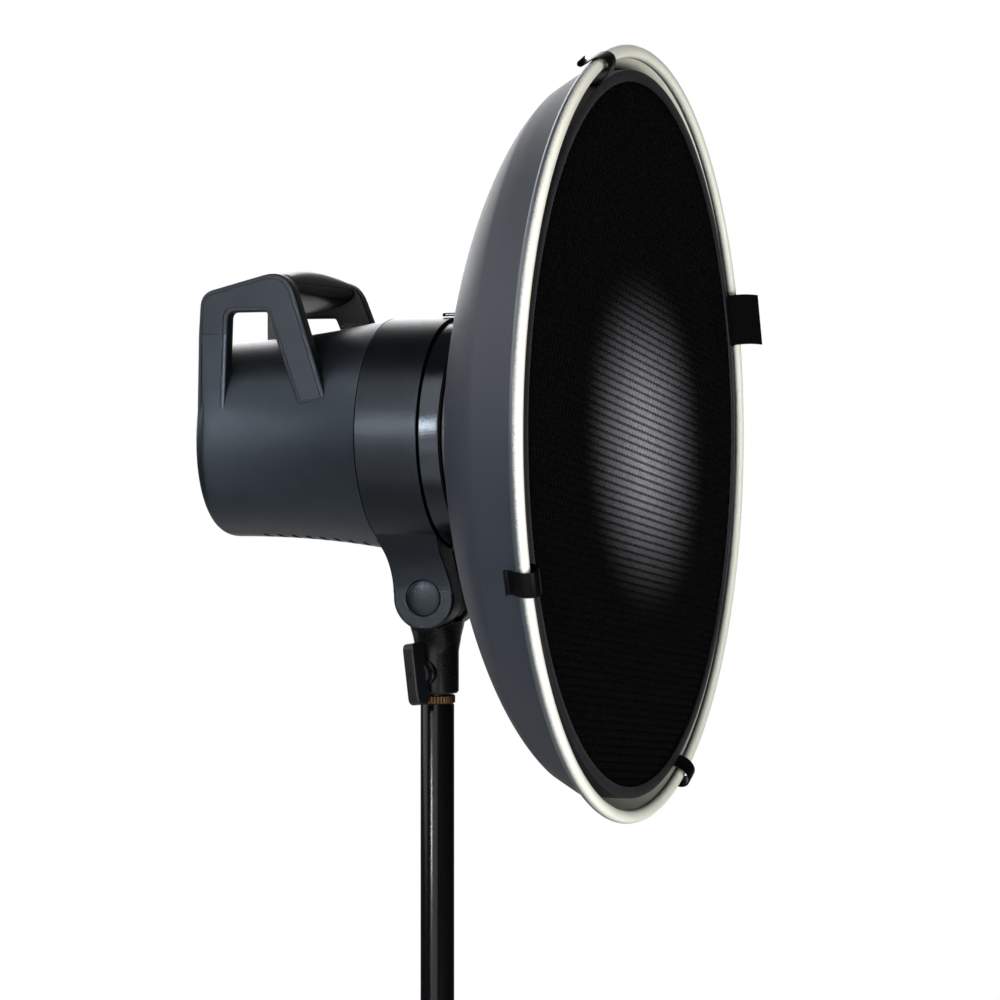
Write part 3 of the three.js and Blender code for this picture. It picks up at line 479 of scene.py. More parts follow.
# The carrying handle's side, column and all, in x and z from the axis.
HANDLE = [(-127.9, -4), (-110.2, -4), (-109.6, 57.2), (-109.6, 70.6, 4), (-84.4, 70.6, 2),
          (-62.8, 16.8, 1.5), (-43.6, 17.5, 1.5), (-71.8, 95.6, 16), (-128.2, 82.1, 8), (-128.9, 57.2)]
HANDLE_EDGE = [*edge(-HANDLE_THICK, 0, 1.5), (2.5, 0), (2.62, -0.35), (2.95, -0.35), (3.07, 0)]


def handle_blank(side):
    def place(u, v, h):
        y = h + HANDLE_HALF_WIDTH + (u + 120) * HANDLE_SPREAD - v * HANDLE_LEAN
        return (u, side * y, v + AXIS_Z)
    blank = plate(HANDLE, HANDLE_EDGE, place, 8)
    # The plate's inner face takes the second finish, black plastic: painted shade for the shadow that the
    # grip and the near plate cast on it.
    blank.tags[-2] = 1
    return blank, plate([(-126.2, 57.3), (-112.4, 57.3), (-112.4, 57.8), (-126.2, 57.8)],
                        [(0, -0.8), (0, 2)], place)


def room(x0, x1, y0, y1, z0, z1):
    """A cutting box."""
    return stacked([([(x0, y0), (x1, y0), (x1, y1), (x0, y1)], z) for z in (z0, z1)], along_z)


def make_housing():
    outer = body_line(0)
    shell = lathe([*outer, *body_line(WALL)[::-1]], 144).bent(settle).moved(z=AXIS_Z)
    seam = AXIS_Z + HANDLE_SEAM_Z
    columns = []
    for side in (1, -1):
        column = to_object("column", handle_blank(side)[0])
        combine(column, [room(-140, -100, -90, 90, AXIS_Z - 3, seam + GAP - 0.03)], "INTERSECT")
        combine(column, [body_solid(WALL / 2)], "DIFFERENCE")
        columns.append(taken(column))
    slots = [plate([(x, -22, 1.5), (x + 3.2, -22, 1.5), (x + 3.2, 22, 1.5), (x, 22, 1.5)],
                   [(0, AXIS_Z - 75), (0, AXIS_Z - 45)], along_z) for x in range(-102, -38, 9)]
    piece("housing_shell", shell, M["housing"], "head", "rear_housing",
          add=columns, cut=[together(*slots)])
    for name, side in (("left", 1), ("right", -1)):
        blank, groove = handle_blank(side)
        # The second finish, black plastic on each plate's inner face, is painted shade.
        piece(f"handle_{name}", blank, [M["handle"], M["black"]], "head", f"handle_side_{name}",
              keep=[room(-140, -30, -90, 90, seam + GAP - 200, seam + 60)],
              cut=[room(-140, -107, -90, 90, AXIS_Z - 20, seam + GAP), body_solid(-GAP), groove.moved(z=GAP)],
              flat=True)


def make_grip():
    lean = math.radians(GRIP_LEAN)

    def grip_half(upper):
        rows = []
        for row in range(33):
            t = row / 16 - 1
            y = GRIP_HALF_SPAN * t
            rise = GRIP_TOP + GRIP_CROWN * (1 - t * t) if upper else -GRIP_BOTTOM
            ring = []
            for k in range(41):
                turn = math.pi * k / 40
                cosine = math.cos(turn)
                across = GRIP_HALF_DEPTH * math.copysign(abs(cosine) ** GRIP_SQUARENESS, cosine)
                up = (GAP / 2 if upper else -GAP / 2) + rise * math.sin(turn) ** GRIP_SQUARENESS
                x = GRIP_X + across * math.cos(lean) - up * math.sin(lean)
                z = GRIP_Z + across * math.sin(lean) + up * math.cos(lean)
                spread = (x - GRIP_X) * HANDLE_SPREAD - (z - GRIP_Z) * HANDLE_LEAN
                ring.append((x, y + t * spread, z + AXIS_Z))
            rows.append(ring)
        return skin(rows)

    piece("grip_upper", grip_half(True), M["grip"], "head", "grip_top")
    under = AXIS_Z + GRIP_Z - GRIP_BOTTOM
    hole = rod(3.4, under - 3, under + 1.8, along_z).moved(x=GRIP_X)
    piece("grip_lower", grip_half(False), M["grip"], "head", "grip_bottom", cut=[hole])
    base = under - 1.2
    rings = [(circle(1.2), base + 2.6), (circle(2.9), base + 2.0), (circle(2.9), base + 0.5),
             (circle(2.5), base), (hexagon(1.3), base), (hexagon(1.3), base + 1.2)]
    piece("grip_screw_head", stacked(rings, along_z).moved(x=GRIP_X), M["steel"], "head",
          "grip_screw")


def lug_side():
    """A lug's rear side, from the collar down to its round foot."""
    return bezier([(SEAM_X + GAP, -62), (-LUG_RADIUS, -72), (-LUG_RADIUS, LUG_CENTRE_Z)], 8)


def lug_outline():
    side = lug_side()
    foot = arc(0, LUG_CENTRE_Z, LUG_RADIUS, 180, 360, 32)
    return [(COLLAR_FRONT_X, -50), (SEAM_X + GAP, -50), *side[:-1], *foot, (COLLAR_FRONT_X, -68)]


def make_collar():
    x0, x1 = SEAM_X + GAP, COLLAR_FRONT_X
    tube = lathe([(x0, COLLAR_BORE), (x0, COLLAR_RADIUS - 0.5), (x0 + 0.15, COLLAR_RADIUS - 0.15),
                  (x0 + 0.5, COLLAR_RADIUS), (x1 - 0.7, COLLAR_RADIUS), (x1 - 0.2, COLLAR_RADIUS - 0.2),
                  (x1, COLLAR_RADIUS - 0.7), (x1, COLLAR_BORE)], 160).moved(z=AXIS_Z)
    bore = lathe([(-60, 0), (-60, COLLAR_BORE), (60, COLLAR_BORE), (60, 0)], 160, closed=False)
    bore = bore.moved(z=AXIS_Z)
    lugs = []
    for y0, y1 in ((LUG_INNER_Y, LUG_OUTER_Y), (-LUG_INNER_Y, -LUG_OUTER_Y)):
        way = math.copysign(1, y1)
        profile = [*edge(y0, y1 - way * 1.1, 0.6, 2)[:3], (0, y1 - way * 1.5), (0.15, y1 - way * 1.15),
                   (1.15, y1 - way * 0.15), (1.5, y1)]
        lug = to_object("lug", plate(lug_outline(), profile, along_y).moved(z=AXIS_Z))
        fillet = []
        side = np.array(lug_side())[::-1]
        for k in range(FILLET_STEPS + 1):
            share = k / FILLET_STEPS
            z = FILLET_BOTTOM + (FILLET_TOP - FILLET_BOTTOM) * share
            out = LUG_OUTER_Y - 0.08 + FILLET_REACH * share ** FILLET_POWER
            left = np.interp(z, side[:, 1], side[:, 0])
            right = COLLAR_FRONT_X + (LUG_RADIUS - COLLAR_FRONT_X) * max(-z - 68, 0) / (-68 - LUG_CENTRE_Z)
            corners = [(left, 12), (right, 12), (right, out, 1.3), (left, out, 1.3)]
            fillet.append(([(u, v * way) for u, v in outline(corners, 0, 3)], z + AXIS_Z))
        combine(lug, [stacked(fillet, along_z)], "UNION")
        combine(lug, [bore], "DIFFERENCE")
        lugs.append(taken(lug))
    holes = [rod(5.3, -30, 30, along_y), rod(8.5, -30, -15, along_y),
             rod(10.8, -30, -20.6, along_y, count=96)]
    piece("collar", tube, M["collar"], "head", "front_collar", add=lugs,
          cut=[h.moved(z=PIVOT_Z) for h in holes], flat=True)
    cap = [(circle(radius, 96), y) for radius, y in (
        (10.4, -20.95), (10.4, -22.7), (10.2, -23.05), (9.6, -23.35), (7.5, -23.75), (4, -24.0), (1, -24.1))]
    piece("pivot_cover", stacked(cap, along_y).moved(z=PIVOT_Z), M["collar"], "head", "pivot_cap")


def make_lock_ring():
    x0, x1, r = COLLAR_FRONT_X + GAP, LOCK_FRONT_X, LOCK_RADIUS
    band = lathe([(x0, 57.5), (x0, r - 0.8), (x0 + 0.8, r), (x1 - 1.2, r), (x1 - 0.35, r - 0.35),
                  (x1, r - 1.2), (x1, 57.5)], 160)
    root = plate([(13.4, -7, 1), (24, -7, 3), (24, 7, 3), (13.4, 7, 1)], edge(62, 69, 0.5, 2), along_z)
    tab = plate([(5, -7, 3), (24, -7, 3), (24, 7, 3), (5, 7, 3)], edge(68.4, 70.6, 0.7, 3), along_z)
    piece("locking_ring", band.moved(z=AXIS_Z), M["satin"], "lock_ring", "lock_ring",
          add=[together(root).moved(z=AXIS_Z), tab.moved(z=AXIS_Z)], flat=True)


# ---------------------------------------------------------------- rear panel


def on_panel(shape, y=0.0, z=0.0):
    return shape.moved(REAR_X, y, AXIS_Z - REAR_DROP + z)


def make_panel():
    disc = lathe([(1.2, 0), (1.2, 36.2), (0.9, 36.8), (-0.2, 37.4), (-0.5, 38), (-0.5, 43.9), (-0.2, 44.5),
                  (0.4, 44.7), (2.8, 44.7), (2.8, 45.9), (4.8, 45.9), (4.8, 0)], 144, closed=False)
    bezel = plate(rectangle(44, 28, 4), [(0, 2), *edge(1.4, -0.5, 0.6, 3)[5:]], along_x).moved(y=0, z=25)
    hub = plate(rectangle(18.5, 25, 3), [(0, 2), *edge(1.4, -0.3, 0.5, 3)[5:]], along_x).moved(y=-15, z=-25)
    holes = [
        plate(rectangle(38, 22, 2), [(0, -4), (0, 8)], along_x).moved(y=0, z=25),
        rod(3.4, -4, 8, along_x).moved(y=0, z=1),
        plate(rectangle(13, 19, 1), [(0, -4), (0, 8)], along_x).moved(y=-15, z=-25),
        plate(rectangle(28, 20, 2), [(0, -4), (0, 8)], along_x).moved(y=9, z=-25),
        rod(5, -4, 8, along_x).moved(y=33, z=-14),
        rod(4.8, -4, 8, along_x).moved(y=-34, z=0),
        rod(4.8, -4, 8, along_x).moved(y=34, z=2),
    ]
    keys = {"menu": (20, 6), "flash_test": (20, -5), "modelling_lamp": (-20, 6), "cell": (-20, -5)}
    holes += [plate(rectangle(11, 7, 1.5), [(0, -4), (0, 8)], along_x).moved(y=y, z=z)
              for y, z in keys.values()]
    ticks = []
    for k in range(11):
        mark = plate(rectangle(0.7, 2.2 if k % 5 else 3.2, 0.3), [(0, 1.4), (0, 0.95)], along_x)
        ticks.append(on_panel(mark.moved(z=12.4).turned("X", -135 + 27 * k), 0, 1))
    piece("panel", on_panel(disc), M["matt_black"], "head", "rear_panel",
          add=[on_panel(bezel), on_panel(hub)], cut=[on_panel(together(h)) for h in holes], flat=True)
    piece("dial_scale", together(*ticks), M["key"], "head")
    window = plate(rectangle(37.4, 21.4, 2), edge(1.8, -0.1, 0.4, 3), along_x)
    piece("display_glass", on_panel(window, 0, 25), M["screen"], "head", "display_window",
          flat=True)
    for key, (y, z) in keys.items():
        cap = plate(rectangle(10.4, 6.4, 1.3),
                    [(0, 9.2), (0, -1.5), (0.25, -2.1), (0.8, -2.4), (2.2, -2.1)], along_x)
        piece(f"{key}_key_cap", on_panel(cap, y, z), M["key"], f"{key}_key", f"{key}_button",
              flat=True)
    profile = [(9, 0), (9, 3), (-0.8, 3), (-0.8, 9), (-1.6, 9.3), (-11.8, 8.8), (-12.6, 8.4), (-13, 7.4),
               (-12.7, 6.6), (-12.7, 0)]
    knob = lathe(profile, 180, closed=False,
                 swell=lambda turn, i: 0.28 * math.cos(30 * turn) if 3 < i < 6 else 0)
    pointer = plate(rectangle(1.2, 4.6, 0.5), edge(-12.2, -13.1, 0.2, 2), along_x).moved(z=5.2)
    piece("dial_knob", on_panel(knob, 0, 1), M["black"], "dial", "control_dial")
    piece("dial_pointer", on_panel(pointer, 0, 1), M["key"], "dial")
    curve = [(3, -8.1, 0.6), (3, 8.1, 0.6), (-4.2, 8.1, 0.9), *[(-3 - 1.2 * (v / 8.1) ** 2, v)
             for v in (5.4, 2.7, 0, -2.7, -5.4)], (-4.2, -8.1, 0.9)]
    switch = plate(curve, edge(-5.7, 5.7, 0.6, 3), along_y).turned("Y", 8).moved(x=3)
    piece("rocker", on_panel(switch, -15, -25), M["black"], "power_switch", "power_rocker")

    def socket_outline(width, height, cut, chamfer):
        u, v = width / 2, height / 2
        return [(-u, -v, cut), (u, -v, cut), (u, v - chamfer, cut), (u - chamfer, v, cut),
                (chamfer - u, v, cut), (-u, v - chamfer, cut)]
    flange = socket_outline(27.4, 19.4, 1.2, 1.3)
    well = socket_outline(22.5, 14.5, 1.2, 4.5)
    rows = [(flange, 0, 24), (flange, 0, -0.9), (flange, 0.2, -1.35), (flange, 0.7, -1.5),
            (well, -0.5, -1.5), (well, -0.1, -1.3), (well, 0, -0.8), (well, 0, 15.5)]
    inlet = stacked([(outline(c, inset), h) for c, inset, h in rows], along_x)
    piece("inlet", on_panel(inlet, 9, -25), M["black"], "head", "mains_inlet", flat=True)
    pins = [plate(rectangle(2, 4, 0.5), edge(17, 3, 0.4, 2), along_x).moved(y=y, z=z)
            for y, z in ((-7, -1.5), (0, 2.5), (7, -1.5))]
    piece("inlet_pins", on_panel(together(*pins), 9, -25), M["steel"], "head", flat=True)
    fuse = [(circle(4.6), 9), (circle(4.6), -0.8), (circle(6), -0.8), (circle(6), -4.4), (circle(5.7), -5.1),
            (circle(5.1), -5.5)]
    slot = plate(rectangle(1.4, 13, 0.2), [(0, -6), (0, -4.3)], along_x)
    piece("fuse_holder_cap", on_panel(stacked(fuse, along_x), 33, -14), M["black"], "fuse",
          "fuse_cap", cut=[on_panel(slot, 33, -14)])
    sync = [(1.75, 9), (4.5, 9), (4.5, -1.1), (4.1, -1.5), (2.6, -1.5), (2.3, -1.2), (1.75, -1.1)]
    piece("sync_jack", on_panel(lathe([(x, r) for r, x in sync], 64), -34, 0), M["steel"], "head",
          "sync_socket")
    dome = [(6, 0), (6, 4.5), *arc(0.5, 0, 4.5, 90, 180, 12)]
    piece("cell_dome", on_panel(lathe(dome, 64, closed=False), 34, 2), M["lens"], "head",
          "photocell_lens")
    head = [(circle(3), -0.8), (circle(3), -1.5), (circle(2.7), -1.85), (circle(2.1), -2), (hexagon(1.2), -2),
            (hexagon(1.2), -1.1)]
    for k in range(4):
        turned = stacked(head, along_x).moved(z=40).turned("X", 45 + 90 * k)
        piece(f"panel_screw_head_{k + 1}", on_panel(turned), M["steel"], "head",
              f"panel_screw_{k + 1}")


# ---------------------------------------------------------------- stand adapter


def make_adapter():
    def oval(z, half_x, half_y):
        power = 0.75 if half_y > half_x + 0.5 else 1 - 0.25 * min(max((half_y - half_x) / 0.5, 0), 1)
        ring = []
        for u, v in circle(1, 96):
            ring.append((math.copysign(abs(u) ** power, u) * half_x,
                         math.copysign(abs(v) ** power, v) * half_y))
        return (ring, z)

    rows = [(0, 11.4, 11.4), (0.5, 12.1, 12.1), (1.4, 12.6, 12.6), (24, 12.6, 12.6), (27, 12.6, 12.9),
            (30, 12.7, 14.1), (33, 12.8, 16.2), (36, 13.0, 19.2), (38.5, 13.2, 21.4), (42, 13.6, 23)]
    neck = stacked([oval(*row) for row in rows], along_z)

    def at_clamp(shape):
        return shape.turned("Z", CLAMP_ANGLE).moved(z=CLAMP_Z)
    lug_room = [rod(20.2, y0, y1, along_y, 0.0, 128).moved(z=PIVOT_Z) for y0, y1 in ((7.2, 40), (-40, -7.2))]
    tongue = rod(17, -7.2, 7.2, along_y, 0.8, 96).moved(z=PIVOT_Z)
    adapter = to_object("adapter", neck)
    combine(adapter, [at_clamp(rod(7.5, 4, 14.5, along_x, 0.6))], "UNION")
    combine(adapter, lug_room, "DIFFERENCE")
    piece("adapter", taken(adapter), M["cast"], "stand_base", "stand_adapter", add=[tongue],
          cut=[rod(5.3, -40, 40, along_y).moved(z=PIVOT_Z), rod(8.05, -1, 30, along_z),
               at_clamp(rod(4.2, 0, 20, along_x))], flat=True)
    wing = plate(rectangle(12, 36, 4.5), edge(-3.9, 3.9, 1.2, 4), along_y, 8)
    wing = wing.moved(x=20.8).turned("X", CLAMP_TILT)
    piece("knob", at_clamp(wing), M["black"], "clamp_handle", "clamp_knob",
          add=[at_clamp(rod(6, 14.8, 18, along_x))],
          cut=[at_clamp(rod(1.3, 25.6, 31, along_x))], flat=True)
    hub = rod(9.5, LUG_OUTER_Y + GAP, 30, along_y, 0.5)
    lever = plate(rectangle(46, 12, 5), edge(28, 39, 2.2, 5), along_y, 8).turned("Y", -45)
    lever = lever.moved(z=PIVOT_Z)
    piece("tilt_lever", lever, M["black"], "tilt_lock", "tilt_handle",
          add=[hub.moved(z=PIVOT_Z)], cut=[rod(5.3, 20, 30, along_y).moved(z=PIVOT_Z)], flat=True)


# ---------------------------------------------------------------- dish and grid


def make_dish():
    outer = bezier([(29.3, 64), (50, 124), (70, 180), (94, 200)], 40)
    inner = bezier([(30.2, 64), (50.81, 123.64), (70.72, 179.46), (94.45, 199.28)], 40)[::-1]
    bead = arc(RIM_X, BEAD_RING, BEAD_RADIUS, 216, -109.8, 36)
    profile = [(29.3, 52), (29.3, 63.4), *outer[1:], (94.8, 200.47), (106, 207), (119, 212.6), *bead,
               (106.45, 206.1), (95.2, 199.7), *inner[:-1], (30.2, 63.6), (30.2, 52)]
    bead_start = len(outer) + 4
    bead_end = bead_start + 36
    outside, inside, rim = 0, 1, 2

    def coat(b):
        if b < bead_start or b >= len(profile) - 1:
            return outside
        return rim if b < bead_end else inside

    piece("bowl", lathe(profile, 256, tag=coat).moved(z=AXIS_Z),
          [M["dish"], M["cream"], M["bead"]], "dish", "dish_shell")
    sleeve = lathe([(14.5, 46.5), (14.5, 49.2), (14.9, 49.6), (25.8, 49.6), (25.8, 61.6), (26.2, 62),
                    (28.6, 62), (29, 61.6), (29, 46.5)], 128)
    claw = plate([(15, -5.5, 1), (19.5, -5.5, 1), (19.5, 5.5, 1), (15, 5.5, 1)], edge(48, 56.3, 0.4, 2),
                 along_z)
    piece("mount_ring", sleeve.moved(z=AXIS_Z), M["ring"], "dish", "dish_mount_ring",
          add=[spread_x(claw, 3).moved(z=AXIS_Z)])
    disc = lathe([(86, 0), (86, 57.6), (85.6, 58.4), (83.2, 64), (83.6, 64.6), (84.3, 64.6), (86.5, 58.9),
                  (86.9, 58), (86.9, 0)], 128, closed=False)
    piece("deflector", disc.moved(z=AXIS_Z), M["cream"], "dish", "deflector_disc")
    base = lathe([(30.5, 52), (30.5, 60), (32.3, 60), (32.3, 52)], 128)
    posts = [rod(2, 31.5, 85.7, along_x, 0.2, 24).moved(z=56).turned("X", 30 + 120 * k).moved(z=AXIS_Z)
             for k in range(3)]
    piece("posts", base.moved(z=AXIS_Z), M["steel"], "dish", "deflector_posts", add=posts)


def honeycomb(pitch, row_pitch, wall, reach, x0, x1):
    """Hexagonal cells with shared walls as one closed skin: a flat net of walls, made thick."""
    inner = (pitch - wall) / math.sqrt(3)
    squash = row_pitch / (pitch * math.sqrt(3) / 2)
    span = int(reach / row_pitch) + 3
    cells = {}
    for row in range(-span, span + 1):
        for column in range(-span, span + 1):
            centre = ((column + (row % 2) / 2) * pitch, row * row_pitch)
            cells[(row, column)] = (centre, math.hypot(*centre) < reach)
    corner = [(inner * math.sin(math.pi / 3 * k), inner * math.cos(math.pi / 3 * k) * squash)
              for k in range(6)]
    numbers, verts, faces = {}, [], []

    def vertex(cell, k):
        key = (cell, k % 6)
        if key not in numbers:
            numbers[key] = len(verts)
            (y, z), _ = cells[cell]
            verts.append((y + corner[k % 6][0], z + corner[k % 6][1]))
        return numbers[key]

    for cell, (_, inside) in cells.items():
        row, column = cell
        if max(abs(row), abs(column)) >= span:
            continue
        odd = row % 2
        upper_right = (row + 1, column + odd)
        right = (row, column + 1)
        lower_right = (row - 1, column + odd)
        near = {name: cells[name][1] for name in (upper_right, right, lower_right)}
        if inside or near[right]:
            faces.append([vertex(cell, 1), vertex(cell, 2), vertex(right, 4), vertex(right, 5)])
        if inside or near[upper_right]:
            faces.append([vertex(cell, 0), vertex(cell, 1),
                          vertex(upper_right, 3), vertex(upper_right, 4)])
        if inside or near[lower_right]:
            faces.append([vertex(cell, 2), vertex(cell, 3),
                          vertex(lower_right, 5), vertex(lower_right, 0)])
        if inside or near[right] or near[upper_right]:
            faces.append([vertex(cell, 1), vertex(right, 5), vertex(upper_right, 3)])
        if inside or near[right] or near[lower_right]:
            faces.append([vertex(cell, 2), vertex(lower_right, 0), vertex(right, 4)])
    used = {}
    for face in faces:
        for a, b in zip(face, face[1:] + face[:1]):
            used[frozenset((a, b))] = used.get(frozenset((a, b)), 0) + 1
    count = len(verts)
    sides = []
    for face in faces:
        for a, b in zip(face, face[1:] + face[:1]):
            if used[frozenset((a, b))] == 1:
                sides.append([b, a, a + count, b + count])
    both = [(x0, y, z) for y, z in verts] + [(x1, y, z) for y, z in verts]
    return Shape(both, faces + [[i + count for i in f][::-1] for f in faces] + sides)


def strip(line, width, thickness, sideways=0.25):
    """A strip of even thickness along a line drawn in x and radius, at the top of the ring."""
    rows = []
    points = [np.array(p) for p in line]
    for i, p in enumerate(points):
        along = points[min(i + 1, len(points) - 1)] - points[max(i - 1, 0)]
        along /= np.hypot(*along)
        side = np.array((-along[1], along[0]))
        section = outline(rectangle(width, thickness, sideways), 0, 3)
        rows.append([(p[0] + side[0] * v, u, p[1] + side[1] * v) for u, v in section])
    return skin(rows)


def make_grid():
    gap = math.radians(GRID_SPLIT_GAP)
    profile = [(GRID_BACK_X, 204.8), (GRID_BACK_X, GRID_RADIUS), (124.5, GRID_RADIUS), (124.85, 205.85),
               (GRID_FRONT_X, 205.5), (GRID_FRONT_X, 200), (124.85, 199.6), (124.5, GRID_OPENING),
               (123.8, 199.6), (123.8, 204.8)]
    rows = []
    for k in range(241):
        turn = math.radians(GRID_SPLIT) + gap + (2 * math.pi - 2 * gap) * k / 240
        rows.append([(x, r * math.cos(turn), r * math.sin(turn)) for x, r in profile])
    piece("grid_frame", skin(rows).moved(z=AXIS_Z), M["ring"], "grid", "grid_ring")
    core = honeycomb(CELL_PITCH, CELL_ROW_PITCH, CELL_WALL, CELL_REACH, GRID_BACK_X + 1, GRID_FRONT_X - 1.5)
    core = core.turned("X", CELL_TURN).moved(z=AXIS_Z)
    cells = piece("grid_cells", core, M["foil"], "grid", "honeycomb_core")
    cells.data.shade_flat()
    foot, crest = GRID_RADIUS + 0.65, BEAD_RING + BEAD_RADIUS + 1.4
    line = smooth_line([
        (113, foot), (120, foot), (124.5, foot + 1.1), (128.4, foot + 3.2), (131, foot + 6.2),
        (132.1, foot + 9.7),
        (131.2, crest - 1.7), (128.4, crest), (125.1, crest), (122.2, crest - 1.1), (119, crest - 2.9),
        (116.4, crest - 4.1), (114.7, crest - 3.4), (114.9, crest - 1.7)], 5)
    for side, angle in CLIP_ANGLES.items():
        shape = strip(line, CLIP_WIDTH, CLIP_THICK).turned("X", angle - 90).moved(z=AXIS_Z)
        piece(f"clip_{side}", shape, M["clip"], "grid", f"grid_clip_{side}")
    root = GRID_FRONT_X + 1.3
    line = smooth_line([(root, 201), (root + 0.3, 204.2), (root + 3.2, 207.2), (root + 8.2, 210.8),
                        (root + 12.7, 212.6), (TAB_FRONT_X, 213.4)], 6)
    tab = strip(line, TAB_WIDTH, TAB_THICK, 0.8).turned("X", TAB_ANGLE - 90)
    tab = tab.bent(lambda x, y, z: (x, y, z - TAB_DROOP * (x - root) / (TAB_FRONT_X - root) + AXIS_Z))
    piece("tab", tab, M["webbing"], "grid", "pull_tab")


# ---------------------------------------------------------------- lamps and inner parts


def make_lamps():
    bulb = [(-24, 0), (-24, 9), (-21, 12.8), *bezier([(8, 12.8), (22, 21), (58, 26), (59, 0)], 24)]
    piece("lamp", lathe(bulb, 64, closed=False).moved(z=AXIS_Z), M["frosted"], "head",
          "modelling_lamp")
    outer = bezier([(44, 44), (60, 44), (72, 27.3), (72, 0)], 20)
    inner = bezier([(44, 42), (60, 42), (70, 26), (70, 0)], 20)[::-1]
    dome = lathe([(8.8, 44), *outer, *inner, (8.8, 42)], 96, closed=False)
    piece("dome", dome.moved(z=AXIS_Z), M["frosted"], "head", "glass_dome")


def dress(names, material):
    for name in names:
        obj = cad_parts[name]
        obj.data.materials.clear()
        obj.data.materials.append(M[material])


make_housing()
make_grip()
make_collar()
make_lock_ring()
make_panel()
make_adapter()
make_dish()
make_grid()
make_lamps()
dress(["clamp_pad", "pivot_bolt", "friction_washer_left", "friction_washer_right"], "steel")
dress(["chassis_plate", "front_plate", "bayonet_mount"], "aluminium")
dress(["display_module", "fan_frame", "fan_impeller", "fuse_holder"], "black")
dress(["control_board", "main_board"], "board")
dress(["capacitor_left", "capacitor_right"], "sleeve")
dress(["transformer"], "copper")
dress(["lamp_socket"], "ceramic")
dress(["flash_tube"], "frosted")

# ---------------------------------------------------------------- stand, floor, light and camera

FLOOR_Z = -1150.0
FLOOR_GLOW = (0.62, 0.62, 0.62, 1)
BACKDROP_WAY, BACKDROP_FLATNESS = (-0.335, 0.942, 0), 0.45
BACKDROP_RAMP = (0.86, 0.96, 0.06, 0.95)  # cosines of its outer and inner edge, dim and full strength


def make_stand():
    knurl = lathe([(-6, 8), (-6, 9.6), (-5.4, 10.2), (-1.6, 10.2), (-1, 9.6), (-1, 8)], 120,
                  swell=lambda turn, i: 0.25 * math.cos(40 * turn) if 1 < i < 4 else 0)
    spigot = rod(7.8, -8, 28, along_z, 0.8)
    tube = [(circle(9.6, 64), -6.3), (circle(9.9, 64), -6.8), (circle(9.9, 64), FLOOR_Z + 20),
            (circle(60, 64), FLOOR_Z + 12), (circle(120, 64), FLOOR_Z + 4), (circle(122, 64), FLOOR_Z)]
    for name, shape, material in (
            ("stage_spigot", spigot, "brass"),
            ("stage_knurl", knurl.turned("Y", -90), "brass"),
            ("stage_tube", stacked(tube, along_z), "tube")):
        obj = to_object(name, shape)
        obj.data.materials.append(M[material])
        obj.data.shade_smooth()
        obj.data.set_sharp_from_angle(angle=SHARP)


def make_floor():
    """A pale disc. Its glow is for the camera only and lights nothing."""
    disc = [(circle(4000, 96), FLOOR_Z - 20), (circle(4000, 96), FLOOR_Z - 1)]
    floor = to_object("stage_floor", stacked(disc, along_z))
    paint = finish("pale_floor", (244, 244, 243), 0.8, mottle=0.01, spot=400)
    nodes, links = paint.node_tree.nodes, paint.node_tree.links
    shader, path = nodes["Principled BSDF"], nodes.new("ShaderNodeLightPath")
    shader.inputs["Emission Color"].default_value = FLOOR_GLOW
    links.new(path.outputs["Is Camera Ray"], shader.inputs["Emission Strength"])
    floor.data.materials.append(paint)


def make_light(name, kind, azimuth, height, distance, aim, power, **settings):
    """A lamp around the point aim: azimuth and height in degrees, distance in metres."""
    lamp = bpy.data.lights.new(name, kind)
    lamp.energy = power
    for setting, value in settings.items():
        setattr(lamp, setting, value)
    a, h = math.radians(azimuth), math.radians(height)
    obj = bpy.data.objects.new(name, lamp)
    way = Vector((math.cos(a) * math.cos(h), math.sin(a) * math.cos(h), math.sin(h)))
    obj.location = Vector(aim) + way * distance
    obj.rotation_euler = (-way).to_track_quat("-Z", "Y").to_euler()
    obj.visible_camera = False
    bpy.context.scene.collection.objects.link(obj)


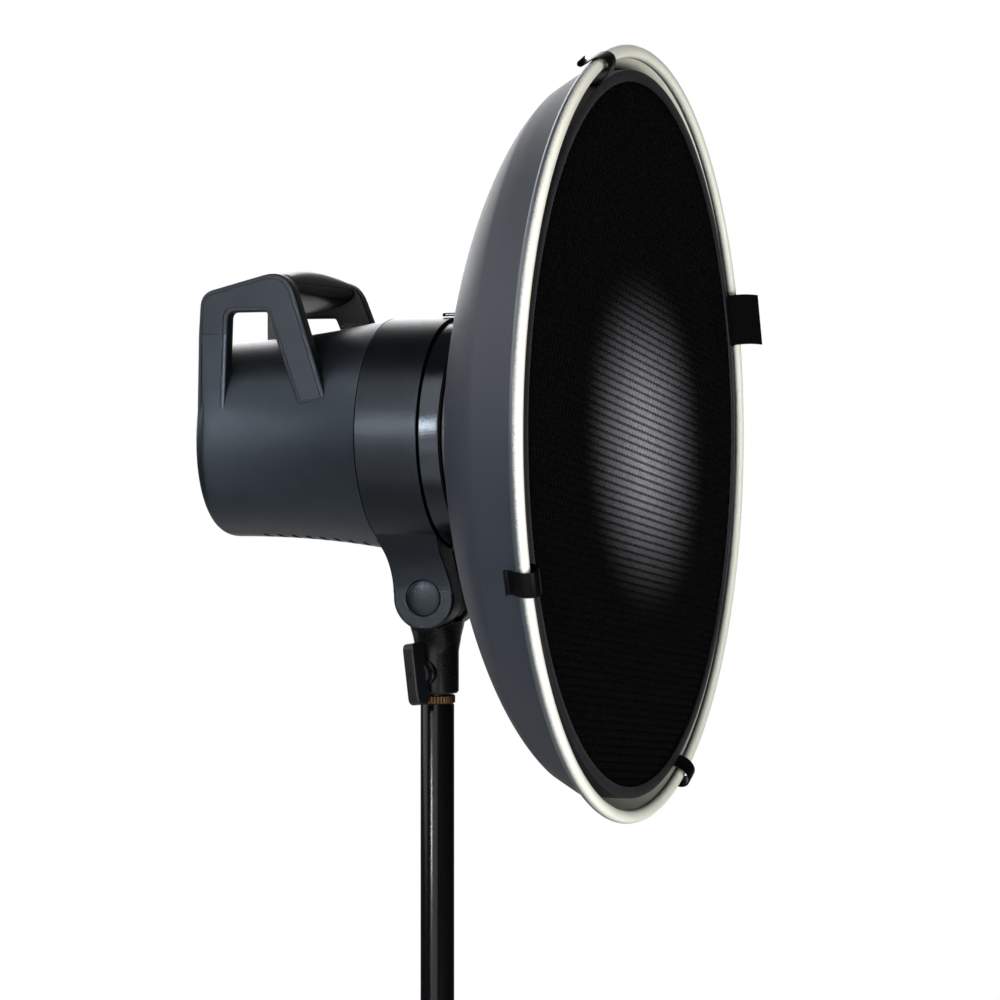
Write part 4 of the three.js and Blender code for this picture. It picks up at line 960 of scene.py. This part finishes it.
def make_world():
    """White to the camera; to everything else a tall narrow backdrop behind the object."""
    world = bpy.data.worlds.new("studio")
    bpy.context.scene.world = world
    world.use_nodes = True
    nodes, links = world.node_tree.nodes, world.node_tree.links
    seen = nodes["Background"]
    seen.inputs["Color"].default_value = (1, 1, 1, 1)
    seen.inputs["Strength"].default_value = 1.0
    fill = nodes.new("ShaderNodeBackground")
    fill.inputs["Color"].default_value = (1, 1, 1, 1)
    place = nodes.new("ShaderNodeTexCoord")
    low, level, facing = (nodes.new("ShaderNodeVectorMath") for _ in range(3))
    low.operation, level.operation, facing.operation = "MULTIPLY", "NORMALIZE", "DOT_PRODUCT"
    low.inputs[1].default_value = (1, 1, BACKDROP_FLATNESS)
    facing.inputs[1].default_value = BACKDROP_WAY
    links.new(place.outputs["Generated"], low.inputs[0])
    links.new(low.outputs["Vector"], level.inputs[0])
    links.new(level.outputs["Vector"], facing.inputs[0])
    backdrop = nodes.new("ShaderNodeMapRange")
    backdrop.interpolation_type = "SMOOTHSTEP"
    for socket, value in zip(("From Min", "From Max", "To Min", "To Max"), BACKDROP_RAMP):
        backdrop.inputs[socket].default_value = value
    links.new(facing.outputs["Value"], backdrop.inputs["Value"])
    links.new(backdrop.outputs["Result"], fill.inputs["Strength"])
    path, mix = nodes.new("ShaderNodeLightPath"), nodes.new("ShaderNodeMixShader")
    links.new(path.outputs["Is Camera Ray"], mix.inputs["Fac"])
    links.new(fill.outputs["Background"], mix.inputs[1])
    links.new(seen.outputs["Background"], mix.inputs[2])
    links.new(mix.outputs["Shader"], nodes["World Output"].inputs["Surface"])


make_stand()
make_floor()
make_world()
CENTRE = (0.0, 0.0, 0.15)
for part, (height, power) in {"upper": (38, 8.5), "middle": (3, 7.1), "lower": (-28, 4.6)}.items():
    make_light(f"softbox_{part}", "AREA", -94, height, 1.14, CENTRE, power,
               shape="RECTANGLE", size=1.0, size_y=0.72)
make_light("softbox_core", "AREA", -110, 8, 1.1, CENTRE, 4.4, shape="RECTANGLE", size=0.12, size_y=0.12)
make_light("front", "AREA", -42, -18, 1.9, (0.12, 0, 0.15), 30, shape="RECTANGLE", size=1.0, size_y=1.0)
make_light("rear_fill", "AREA", 195, 25, 1.6, CENTRE, 14.0, shape="RECTANGLE", size=1.2, size_y=1.2)
make_light("far_fill", "AREA", 128, 20, 1.6, CENTRE, 14.0, shape="RECTANGLE", size=1.2, size_y=1.2)
make_light("grid_gleam", "SPOT", -58, 6, 1.5, (0.125, 0.01, 0.147), 5600, spot_size=math.radians(5.9),
           spot_blend=1.0, shadow_soft_size=0.03)
bpy.data.objects["grid_gleam"].scale = (0.5, 1, 1)

camera = bpy.data.objects.new("camera", bpy.data.cameras.new("camera"))
camera.location = (0.5841, -1.5324, 0.1511)
camera.rotation_euler = (math.radians(90), 0, math.radians(19.587))
camera.data.sensor_width = 36.0
camera.data.lens = 101.016
camera.data.shift_y = -0.066
camera.data.clip_end = 50.0
bpy.context.scene.collection.objects.link(camera)
bpy.context.scene.camera = camera
bpy.context.scene.view_settings.view_transform = "Standard"
